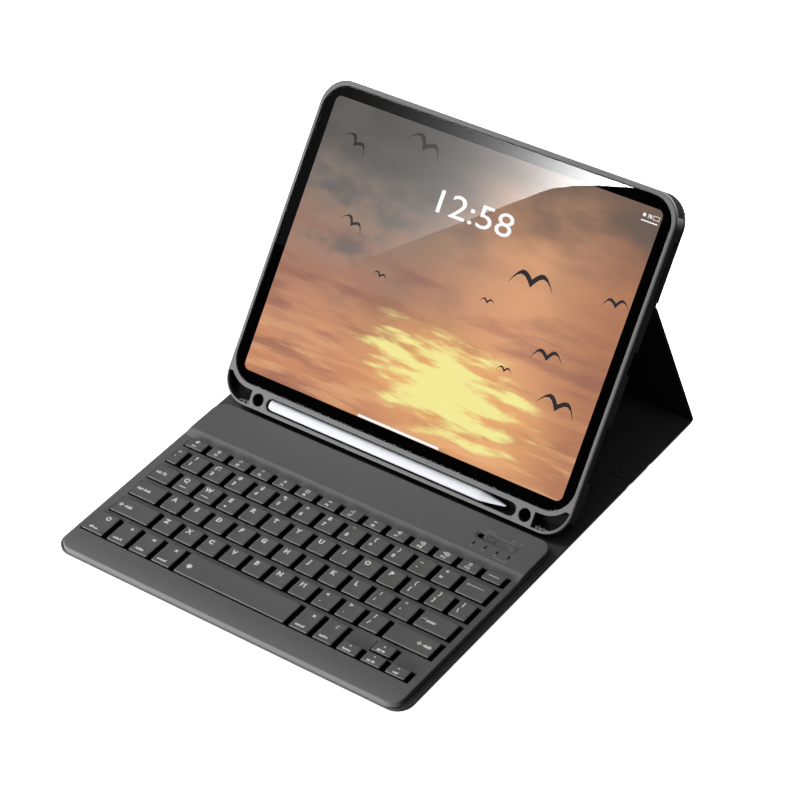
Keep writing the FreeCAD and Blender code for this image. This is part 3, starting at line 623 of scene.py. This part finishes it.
def cap_boxes(node):
    """The (low, high) corners of each separate cap in a CAD key node, from left to right."""
    source = bmesh.new()
    source.from_mesh(frame["nodes"][node].data)
    bmesh.ops.remove_doubles(source, verts=source.verts, dist=0.001 * MM)
    left = set(source.verts)
    boxes = []
    while left:
        island, queue = [], [left.pop()]
        while queue:
            vertex = queue.pop()
            island.append(vertex.co.copy())
            for edge in vertex.link_edges:
                other = edge.other_vert(vertex)
                if other in left:
                    left.discard(other)
                    queue.append(other)
        low = Vector([min(point[axis] for point in island) for axis in range(3)])
        high = Vector([max(point[axis] for point in island) for axis in range(3)])
        boxes.append((low, high))
    source.free()
    return sorted(boxes, key=lambda box: box[0].x)


def add_cap(bm, low, high):
    """One keycap: tapered sides, rounded shoulders and a shallow dish."""
    profile = [(low.z + height * MM, inset * MM) for height, inset in CAP_FOOT]
    profile += [(high.z + height * MM, inset * MM) for height, inset in CAP_TOP]
    rounded_slab(bm, low, high, (CAP_RADIUS,) * 4, profile, steps=3)
    # The sides below the shoulder take the second material, the near-black painted shade.
    for face in bm.faces:
        if face.calc_center_median().z < high.z - CAP_SHOULDER:
            face.material_index = 1


# What is printed on each key, from left to right. Two marks stand one above the other, and an empty
# upper one makes the lower a long bar. A letter's own dash or dot is a line or a dot below it.
KEY_MARKS = {
    "function_row_keys": (("◐", "esc"), ("☀", "F1"), ("☼", "F2"), ("≡", "F3"), ("⌕", "F4"),
                          ("□", "F5"), ("◂◂", "F6"), ("▸‖", "F7"), ("▸▸", "F8"), ("◁", "F9"),
                          ("◁)", "F10"), ("◁))", "F11"), ("⌂", "F12"), ("", "—")),
    "number_row_keys": (("~", "`"), ("!", "1"), ("@", "2"), ("#", "3"), ("$", "4"), ("%", "5"),
                        ("^", "6"), ("&", "7"), ("*", "8"), ("(", "9"), (")", "0"), ("_", "-"),
                        ("+", "=")),
    "backspace_key": ("backspace",),
    "tab_key": ("tab ⇆",),
    "upper_letter_keys": ("Q-", "W-", "E.") + tuple("RTYUIOP") + (("{", "["), ("}", "]"), ("|", "\\")),
    "caps_lock_key": ("caps lock",),
    "home_letter_keys": tuple("ASDFGHJKL") + ((":", ";"), ('"', "'")),
    "enter_key": ("↵ enter",),
    "left_shift_key": ("⇧ shift",),
    "lower_letter_keys": tuple("ZXCVBNM") + (("<", ","), (">", "."), ("?", "/")),
    "right_shift_key": ("⇧ shift",),
    "fn_key": (("○", "fn"),),
    "left_modifier_keys": (("^", "ctrl"), ("=", "alt"), ("×", "cmd")),
    "space_bar": ("",),
    "right_modifier_keys": (("×", "cmd"), ("≡", "alt")),
    "left_arrow_key": (("◂", "home"),),
    "down_arrow_key": (("▾", "pg dn"),),
    "up_arrow_key": (("▴", "pg up"),),
    "right_arrow_key": (("▸", "end"),),
}
LETTER_HEIGHT = 3.5 * MM
WORD_HEIGHT = 1.8 * MM
SYMBOL_HEIGHT = 3.0 * MM
STROKE = 0.06
MARK_SINK = 0.015 * MM
LOW_CAP = 10 * MM


def add_stacked_marks(bm, upper, lower, low, high, level):
    """Two marks on one cap: number keys carry symbols, the others an icon over a word, or a bar."""
    width, depth = high.x - low.x, high.y - low.y
    is_symbol = len(lower) == 1
    if not upper:
        line_y = low.y + 0.55 * depth
        add_bar(bm, low.x + 0.2 * width, low.x + 0.72 * width, line_y - 0.3 * MM, line_y + 0.3 * MM, level)
    elif is_symbol:
        add_text(bm, upper, SYMBOL_HEIGHT, low.x + 0.33 * width, low.y + 0.80 * depth, level, STROKE)
        add_text(bm, lower, SYMBOL_HEIGHT, low.x + 0.28 * width, low.y + 0.40 * depth, level, STROKE)
    elif depth < LOW_CAP:
        add_text(bm, upper, 2.4 * MM, low.x + 0.46 * width, low.y + 0.70 * depth, level, STROKE)
        add_text(bm, lower, 1.9 * MM, low.x + 0.44 * width, low.y + 0.30 * depth, level, STROKE)
    else:
        add_text(bm, upper, SYMBOL_HEIGHT, low.x + 0.62 * width, low.y + 0.76 * depth, level, STROKE)
        add_text(bm, lower, WORD_HEIGHT, low.x + 0.42 * width, low.y + 0.20 * depth, level, STROKE,
                 width=7.2 * MM)


def add_letter_mark(bm, mark, low, high, level):
    """A capital in the cap's upper left part; a dash or a dot under it marks a shortcut."""
    width, depth = high.x - low.x, high.y - low.y
    add_text(bm, mark[0], LETTER_HEIGHT, low.x + 0.34 * width, low.y + 0.70 * depth, level, STROKE)
    if mark.endswith("-"):
        line_y = low.y + 0.26 * depth
        add_bar(bm, low.x + 0.22 * width, low.x + 0.62 * width, line_y, line_y + 0.7 * MM, level)
    if mark.endswith("."):
        add_text(bm, "●", 1.9 * MM, low.x + 0.34 * width, low.y + 0.28 * depth, level)


def add_word_mark(bm, mark, low, high, level):
    """A word along the middle of a wide cap, at its left, or at the right-hand end of a very wide one."""
    width, depth = high.x - low.x, high.y - low.y
    if mark == "backspace":
        line_y = low.y + 0.66 * depth
        left = low.x + 0.16 * width
        add_bar(bm, left, left + 12.5 * MM, line_y - 0.25 * MM, line_y + 0.25 * MM, level)
        add_text(bm, "◂", SYMBOL_HEIGHT * 1.7, left, line_y, level)
        return
    length = 11.5 * MM if len(mark) > 6 else 9.0 * MM
    is_far = width > 35 * MM and low.x > 0
    middle = high.x - 0.24 * width if is_far else low.x + 1.6 * MM + length / 2
    add_text(bm, mark, WORD_HEIGHT * 1.25, middle, low.y + 0.5 * depth, level, STROKE, width=length)


def add_key_mark(bm, mark, low, high):
    """Prints one key's mark where these keys carry it."""
    level = high.z - MARK_SINK
    if isinstance(mark, tuple):
        add_stacked_marks(bm, mark[0], mark[1], low, high, level)
    elif mark[:1].isalpha() and len(mark) <= 2:
        add_letter_mark(bm, mark, low, high, level)
    elif mark:
        add_word_mark(bm, mark, low, high, level)


def add_space_bar_mark(bm, low, high):
    """A round icon at the left of the space bar."""
    level = high.z - MARK_SINK
    centre_x = low.x + 0.075 * (high.x - low.x)
    centre_y = low.y + 0.42 * (high.y - low.y)
    add_text(bm, "●", 3.6 * MM, centre_x, centre_y, level)


def make_keys():
    bodies = frame["record"]["behaviour"]["bodies"]
    for body, nodes in bodies.items():
        node = nodes[0]
        if node not in KEY_MARKS:
            continue
        boxes = cap_boxes(node)
        caps = bmesh.new()
        for low, high in boxes:
            add_cap(caps, low, high)
        add_mesh(f"{node}_caps", caps, MATERIALS["keycap_plastic"], body,
                 replaces=(node,), second=CAP_SIDE_SHADE)
        marks = bmesh.new()
        for mark, (low, high) in zip(KEY_MARKS[node], boxes):
            add_key_mark(marks, mark, low, high)
            if node == "space_bar":
                add_space_bar_mark(marks, low, high)
        add_mesh(f"{node}_marks", marks, LEGEND_WHITE, body, smooth_angle=0)


# ---------------------------------------------------------------- the screen

DISPLAY_RADIUS = 4.5 * MM
GLASS_RADIUS = 18.4 * MM


def glass_top():
    return tray_box("tablet_glass")[1].z


def make_glass():
    """The cover glass, its edge rounded over."""
    low, high = tray_box("tablet_glass")
    base = low.z + 0.12 * MM
    profile = ((base, 0.05 * MM), (base + 0.05 * MM, 0.0), (high.z - 0.3 * MM, 0.0),
               (high.z - 0.12 * MM, 0.06 * MM), (high.z - 0.03 * MM, 0.18 * MM), (high.z, 0.4 * MM))
    bm = bmesh.new()
    rounded_slab(bm, low, high, (GLASS_RADIUS,) * 4, profile, steps=14)
    add_mesh("screen_glass", bm, MATERIALS["tablet_glass"], "tablet", TRAY,
             replaces=("tablet_glass",))


def make_border():
    """The black print round the picture, on the back of the cover glass."""
    low, high = tray_box("tablet_glass")
    picture_low, picture_high = tray_box("tablet_display")
    steps = 12
    outer = rounded_outline(low, high, (GLASS_RADIUS,) * 4, 0.25 * MM, steps)
    inner = rounded_outline(picture_low, picture_high, (DISPLAY_RADIUS,) * 4, 0.0, steps)
    top = low.z + 0.10 * MM
    base = low.z + 0.02 * MM
    bm = bmesh.new()
    rings = [[(x, y, z) for x, y in outline]
             for outline, z in ((outer, base), (outer, top), (inner, top), (inner, base), (outer, base))]
    loft(bm, rings, close_low=False, close_high=False)
    bmesh.ops.remove_doubles(bm, verts=bm.verts, dist=0.001 * MM)
    add_mesh("screen_border", bm, SCREEN_BORDER, "tablet", TRAY, smooth_angle=0)


def make_picture():
    """The lit panel behind the glass, showing a generic evening sky."""
    low, high = tray_box("tablet_display")
    top = high.z - 0.06 * MM
    picture = sky_picture("screen_picture", low, high)
    bm = bmesh.new()
    rounded_slab(bm, low, high, (DISPLAY_RADIUS,) * 4, ((low.z, 0.0), (top, 0.0)), steps=8)
    add_mesh("screen_panel", bm, picture, "tablet", TRAY, replaces=("tablet_display",))


def mark_level():
    return tray_box("tablet_display")[1].z - 0.02 * MM


def make_clock():
    """A generic clock across the upper half of the screen."""
    low, high = tray_box("tablet_display")
    centre_y = low.y + 0.78 * (high.y - low.y)
    bm = bmesh.new()
    add_text(bm, "12:58", 15.5 * MM, 1.5 * MM, centre_y, mark_level(), width=60 * MM)
    add_mesh("screen_clock", bm, SCREEN_WHITE, "tablet", TRAY, smooth_angle=0)


def make_status_marks():
    """Signal dot, charge outline and a line under them, at the screen's upper right corner."""
    high = tray_box("tablet_display")[1]
    level = mark_level()
    line_y = high.y - 9.8 * MM
    bm = bmesh.new()
    add_bar(bm, high.x - 14.2 * MM, high.x - 1.9 * MM, line_y - 0.4 * MM, line_y + 0.4 * MM, level)
    add_text(bm, "●", 2.2 * MM, high.x - 13 * MM, line_y + 3.6 * MM, level)
    add_text(bm, "78", 2.2 * MM, high.x - 8.8 * MM, line_y + 3.6 * MM, level, 0.03)
    left, right = high.x - 6.4 * MM, high.x - 1.6 * MM
    bottom, top = line_y + 2.2 * MM, line_y + 5.0 * MM
    rim = 0.35 * MM
    add_bar(bm, left, right, bottom, bottom + rim, level)
    add_bar(bm, left, right, top - rim, top, level)
    add_bar(bm, left, left + rim, bottom + rim, top - rim, level)
    add_bar(bm, right - rim, right, bottom + rim, top - rim, level)
    add_mesh("screen_status", bm, SCREEN_WHITE, "tablet", TRAY, smooth_angle=0)


def make_home_bar():
    low = tray_box("tablet_display")[0]
    bm = bmesh.new()
    add_bar(bm, -33 * MM, 34 * MM, low.y + 0.2 * MM, low.y + 1.9 * MM, mark_level())
    add_mesh("screen_home_bar", bm, SCREEN_WHITE, "tablet", TRAY, smooth_angle=0)


def add_bird(bm, x, y, z, span, turn):
    """A gliding bird: two swept wings, thick at the body and thin at the tips."""
    steps = 6
    upper, lower = [], []
    for step in range(-steps, steps + 1):
        share = step / steps
        arch = 0.22 * math.sin(math.pi * abs(share)) - 0.08 * abs(share)
        thick = 0.075 * (1 - abs(share)) + 0.006
        upper.append(Vector((share / 2, arch + thick, 0)))
        lower.append(Vector((share / 2, arch - thick, 0)))
    spin = Matrix.Rotation(math.radians(turn), 4, "Z")
    place = Matrix.Translation((x, y, z)) @ spin @ Matrix.Scale(span, 4)
    outline = [bm.verts.new(place @ point) for point in upper + lower[::-1]]
    count = len(upper)
    for k in range(count - 1):
        opposite = 2 * count - 1 - k
        bm.faces.new((outline[k], outline[k + 1], outline[opposite - 1], outline[opposite]))


# Places are shares of the screen's width and height, spans are in millimetres.
BIRDS = ((0.10, 0.86, 22, -28), (0.17, 0.60, 20, -20), (0.30, 0.47, 12, -8), (0.30, 0.93, 30, -18),
         (0.62, 0.52, 12, 4), (0.72, 0.63, 34, 5), (0.83, 0.42, 24, 8), (0.90, 0.28, 30, -6),
         (0.73, 0.33, 12, 2), (0.96, 0.66, 20, 10))


def make_birds():
    low, high = tray_box("tablet_display")
    bm = bmesh.new()
    for across, up, span, turn in BIRDS:
        add_bird(bm, low.x + across * (high.x - low.x), low.y + up * (high.y - low.y), mark_level(),
                 span * MM, turn)
    add_mesh("screen_birds", bm, SCREEN_DARK, "tablet", TRAY, smooth_angle=0)


# ---------------------------------------------------------------- small fittings on tray and keyboard

def make_corner_ribs():
    """Three small ribs on the outer wall of each open corner of the tray, coloured near-white as a painted
    highlight.
    """
    low, high = tray_box("tablet_tray")
    bm = bmesh.new()
    for side in (-1, 1):
        for number in range(3):
            x = side * (120.5 + 3.4 * number) * MM
            corner_low = (x - 0.55 * MM, low.y + 1.5 * MM)
            corner_high = (x + 0.55 * MM, low.y + (3.4 - 0.3 * number) * MM)
            profile = ((2.6 * MM, 0.0), (high.z - 3.0 * MM, 0.0), (high.z - 2.8 * MM, 0.15 * MM))
            rounded_slab(bm, corner_low, corner_high, (0.2 * MM,) * 4, profile, steps=2)
    add_mesh("corner_ribs", bm, RIB_PAINTED_HIGHLIGHT, "holder", TRAY)


def make_control_marks():
    """Faint printing beside the switch, the button and the indicator lights."""
    button_low, button_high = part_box("connect_button")
    lens_low, lens_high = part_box("indicator_lenses")
    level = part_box("keyboard_top_case")[1].z + 0.01 * MM
    behind = button_high.y + 3.4 * MM
    bm = bmesh.new()
    add_bar(bm, lens_low.x + 1.0 * MM, lens_low.x + 8.0 * MM, behind, behind + 0.45 * MM, level)
    add_bar(bm, button_low.x - 2.4 * MM, button_low.x + 1.6 * MM, behind, behind + 0.5 * MM, level)
    add_text(bm, "●", 1.1 * MM, button_high.x + 0.6 * MM, behind + 0.3 * MM, level)
    step = (lens_high.x - lens_low.x - 1.2 * MM) / 3
    for number, mark in enumerate(("+", "A", "○", "1")):
        x = lens_low.x + 0.6 * MM + number * step
        add_text(bm, mark, 1.3 * MM, x, lens_low.y - 1.4 * MM, level, STROKE)
    add_bar(bm, lens_high.x - 9.0 * MM, lens_high.x + 0.6 * MM, lens_low.y - 3.6 * MM,
            lens_low.y - 3.2 * MM, level)
    add_mesh("control_marks", bm, LEGEND_FAINT, "keyboard", smooth_angle=0)


# ---------------------------------------------------------------- the folio's skins

def panel_frame(name):
    """A panel's own frame: X across, Y along it from its front or lower crease, Z outwards."""
    along = Vector((0, 1, 0))
    if name == "leg_panel":
        along = (joint_place("holder_fold") - joint_place("stand_fold")).normalized()
    across = Vector((1, 0, 0))
    up = across.cross(along)
    inside = Vector(node_points(f"{name}_lining").mean(0) - node_points(f"{name}_skin").mean(0))
    if inside.dot(up) > 0:
        across, up = -across, -up
    return Matrix((across, along, up)).transposed().to_4x4()


def make_skin(name, near_radius=0.3 * MM):
    """A panel's outer skin: its edge rolled over, with a pressed line just inside it."""
    place = panel_frame(name)
    rotation = np.array(place.inverted().to_3x3())
    points = node_points(f"{name}_skin") @ rotation.T
    low, high = Vector(points.min(0)), Vector(points.max(0))
    depth = high.z - low.z
    groove = high.z - 0.55 * depth
    profile = ((low.z, 0.0), (high.z - 0.75 * depth, 0.0), (high.z - 0.35 * depth, 0.1 * MM),
               (high.z - 0.1 * depth, 0.32 * MM), (high.z, 0.7 * MM), (high.z, 3.3 * MM),
               (groove, 3.7 * MM), (groove, 4.0 * MM), (high.z, 4.4 * MM))
    radii = (near_radius, near_radius, 0.3 * MM, 0.3 * MM)
    bm = bmesh.new()
    rounded_slab(bm, low, high, radii, profile, steps=10)
    add_mesh(f"{name}_outer_skin", bm, MATERIALS["cover_leather"], name, place,
             replaces=(f"{name}_skin",))


def make_skins():
    """The back cover keeps its CAD skin, which has the camera window."""
    make_skin("front_cover", near_radius=12.0 * MM)
    make_skin("spine")
    make_skin("base_panel")
    make_skin("leg_panel")


# ---------------------------------------------------------------- the folio's creases

CREASE_REACH = 3.2 * MM
CREASE_HALF_THICK = 0.62 * MM
CREASE_END = 0.3 * MM
CREASE_STEPS = 10
CREASE_COLUMNS = 40


def panel_way(node, place):
    """Which way a panel runs from its crease, in the YZ plane."""
    middle = Vector(node_points(node).mean(0)) - place
    middle.x = 0
    return middle.normalized()


def crease_ring(x, place, ways):
    """One cross-section at x: the lining's side first, then the leather's side on the way back."""
    start, end = ways[0] * CREASE_REACH, ways[1] * CREASE_REACH
    upper, lower = [], []
    for step in range(CREASE_STEPS + 1):
        share = step / CREASE_STEPS
        point = place + start * (1 - share) * (1 - 2 * share) + end * share * (2 * share - 1)
        slope = (end * (4 * share - 1) + start * (4 * share - 3)).normalized()
        side = Vector((0, -slope.z, slope.y))
        upper.append(point + side * CREASE_HALF_THICK)
        lower.append(point - side * CREASE_HALF_THICK)
    return [(x, point.y, point.z) for point in upper + lower[::-1]]


def make_crease(name, joint_name, first, second):
    """The soft strip of leather and lining that joins two panels, shaped as they lie at rest."""
    place = joint_place(joint_name)
    place.x = 0
    ways = [panel_way(f"{panel}_board", place) for panel in (first, second)]
    low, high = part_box(f"{first}_skin")
    width = high.x - low.x - 2 * CREASE_END
    bm = bmesh.new()
    loft(bm, [crease_ring(low.x + CREASE_END + column / CREASE_COLUMNS * width, place, ways)
              for column in range(CREASE_COLUMNS + 1)])
    bm.verts.index_update()
    points_on_a_side = CREASE_STEPS + 1
    for face in bm.faces:
        if all(vert.index % (2 * points_on_a_side) < points_on_a_side for vert in face.verts):
            face.material_index = 1
    piece = add_mesh(name, bm, MATERIALS["cover_leather"], None,
                     second=MATERIALS["cover_lining"])
    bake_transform(piece)


def make_creases():
    make_crease("spine_crease", "spine_fold", "front_cover", "spine")
    make_crease("base_crease", "base_fold", "spine", "base_panel")
    make_crease("stand_crease", "stand_fold", "base_panel", "leg_panel")
    make_crease("holder_crease", "holder_fold", "leg_panel", "back_cover")


# ---------------------------------------------------------------- camera, lights and stage

CAMERA_EYE = Vector((0.96645, -1.08162, 1.28198))
CAMERA_AZIMUTH = math.radians(39.95)
CAMERA_ELEVATION = math.radians(39.28)
CAMERA_ROLL = math.radians(-5.23)
CAMERA_LENS = 132.0


def make_camera():
    """The camera looks from the azimuth and elevation above, rolled a little about its own axis."""
    back = Vector((math.sin(CAMERA_AZIMUTH) * math.cos(CAMERA_ELEVATION),
                   -math.cos(CAMERA_AZIMUTH) * math.cos(CAMERA_ELEVATION), math.sin(CAMERA_ELEVATION)))
    level = Vector((math.cos(CAMERA_AZIMUTH), math.sin(CAMERA_AZIMUTH), 0))
    upright = back.cross(level)
    right = level * math.cos(CAMERA_ROLL) + upright * math.sin(CAMERA_ROLL)
    up = upright * math.cos(CAMERA_ROLL) - level * math.sin(CAMERA_ROLL)
    data = bpy.data.cameras.new("camera")
    data.lens = CAMERA_LENS
    data.sensor_width = 36.0
    data.clip_start = 0.01
    camera = bpy.data.objects.new("camera", data)
    bpy.context.scene.collection.objects.link(camera)
    turn = Matrix((right, up, back)).transposed().to_4x4()
    camera.matrix_world = Matrix.Translation(CAMERA_EYE) @ turn
    bpy.context.scene.camera = camera


def add_softbox(name, place, target, width, height, power):
    """A white rectangular lamp in watts that faces its target."""
    data = bpy.data.lights.new(name, "AREA")
    data.shape = "RECTANGLE"
    data.size = width
    data.size_y = height
    data.energy = power
    lamp = bpy.data.objects.new(name, data)
    bpy.context.scene.collection.objects.link(lamp)
    lamp.location = place
    lamp.rotation_euler = (Vector(target) - Vector(place)).to_track_quat("-Z", "Y").to_euler()
    return lamp


KEY_POWER = 7.8
TOP_POWER = 3.0
FRONT_POWER = 29
LEFT_POWER = 14
REAR_POWER = 150
RIGHT_POWER = 1.0
WORLD_STRENGTH = 0.012


def make_lights():
    """The last four lamps only light surfaces and don't show in the screen's glass."""
    middle = (0.0, 0.0, 0.05)
    add_softbox("key_softbox", (-1.0, -0.3, 1.4), middle, 0.55, 0.55, KEY_POWER)
    add_softbox("top_softbox", (0.1, -0.1, 1.7), middle, 1.1, 1.1, TOP_POWER)
    front = add_softbox("front_softbox", (-0.45, -1.45, 0.15), (0, 0, 0.06), 0.8, 0.26, FRONT_POWER)
    left = add_softbox("left_softbox", (-1.1, -0.75, 0.13), (0, 0.05, 0.08), 0.5, 0.22, LEFT_POWER)
    rear = add_softbox("rear_softbox", (0.0, 1.8, 0.95), (0, 0.15, 0.12), 0.3, 0.3, REAR_POWER)
    right = add_softbox("right_softbox", (1.0, -0.2, 1.2), middle, 0.5, 0.5, RIGHT_POWER)
    for lamp in (front, left, rear, right):
        lamp.visible_glossy = False
        lamp.visible_transmission = False
    world = bpy.data.worlds.new("studio")
    world.use_nodes = True
    world.node_tree.nodes["Background"].inputs["Color"].default_value = (1, 1, 1, 1)
    world.node_tree.nodes["Background"].inputs["Strength"].default_value = WORLD_STRENGTH
    bpy.context.scene.world = world


def make_floor():
    """A plain pale floor, bright enough to read as white paper."""
    material = new_material("pale_floor", (0.9, 0.9, 0.9, 1), 0.8, 0.0)
    shader = material.node_tree.nodes["Principled BSDF"]
    shader.inputs["Emission Color"].default_value = (1, 1, 1, 1)
    shader.inputs["Emission Strength"].default_value = 0.9
    bm = bmesh.new()
    half = 6.0
    add_bar(bm, -half, half, -half, half, CAD_BOX[0][2] - 0.3 * MM)
    floor = add_mesh("floor", bm, material, None, smooth_angle=0)
    floor.visible_diffuse = False
    floor.visible_glossy = False


CARD_DISTANCE = 1.1
CARD_COLUMNS, CARD_ROWS = 24, 20
CARD_STRENGTH = 13.5
CARD_BRIGHT_PLACE = 70 * MM
CARD_FADE = 39 * MM


def glare_edge(height):
    """Where the mirrored card ends on the glass: a slanting line that bends over near the top."""
    slanting = -20 * MM + 1.333 * (height - 160 * MM)
    past_bend = max(0.0, height - 208 * MM) / MM
    return slanting + 0.068 * MM * past_bend ** 2


def make_reflector():
    """A card whose graded face the screen mirrors: white at one straight edge, fading to the left."""
    top = glass_top()
    eye = TO_TRAY @ CAMERA_EYE
    screen_left = -140 * MM
    low, high = 112 * MM, 236 * MM
    bm = bmesh.new()
    glow = []
    grid = []
    for row in range(CARD_ROWS + 1):
        height = low + (high - low) * row / CARD_ROWS
        edge = glare_edge(height)
        line = []
        for column in range(CARD_COLUMNS + 1):
            across = screen_left + (edge - screen_left) * column / CARD_COLUMNS
            spot = Vector((across, height, top))
            ray = (spot - eye).normalized()
            bounced = Vector((ray.x, ray.y, -ray.z))
            line.append(bm.verts.new(spot + bounced * (CARD_DISTANCE / bounced.z)))
            glow.append(math.exp((across - CARD_BRIGHT_PLACE) / CARD_FADE))
        grid.append(line)
    for row in range(CARD_ROWS):
        for column in range(CARD_COLUMNS):
            bm.faces.new((grid[row][column], grid[row][column + 1],
                          grid[row + 1][column + 1], grid[row + 1][column]))
    material = bpy.data.materials.new("graded_card")
    material.use_nodes = True
    material.node_tree.nodes.clear()
    output = add_node(material, "ShaderNodeOutputMaterial")
    emission = add_node(material, "ShaderNodeEmission")
    grade = add_node(material, "ShaderNodeAttribute", attribute_name="glow")
    strength = calculate(material, "MULTIPLY", grade.outputs["Fac"], CARD_STRENGTH)
    link(material, strength, emission.inputs["Strength"])
    link(material, emission.outputs["Emission"], output.inputs["Surface"])
    card = add_mesh("graded_card", bm, material, None, TRAY, smooth_angle=0)
    attribute = card.data.attributes.new("glow", "FLOAT", "POINT")
    attribute.data.foreach_set("value", glow)
    card.visible_camera = False
    card.visible_diffuse = False
    card.visible_shadow = False


make_camera()
make_lights()
make_floor()
make_reflector()
paint_cad_nodes()
make_keys()
make_glass()
make_border()
make_picture()
make_clock()
make_status_marks()
make_home_bar()
make_birds()
make_corner_ribs()
make_control_marks()
make_skins()
make_creases()
bpy.context.scene.view_settings.view_transform = "Standard"
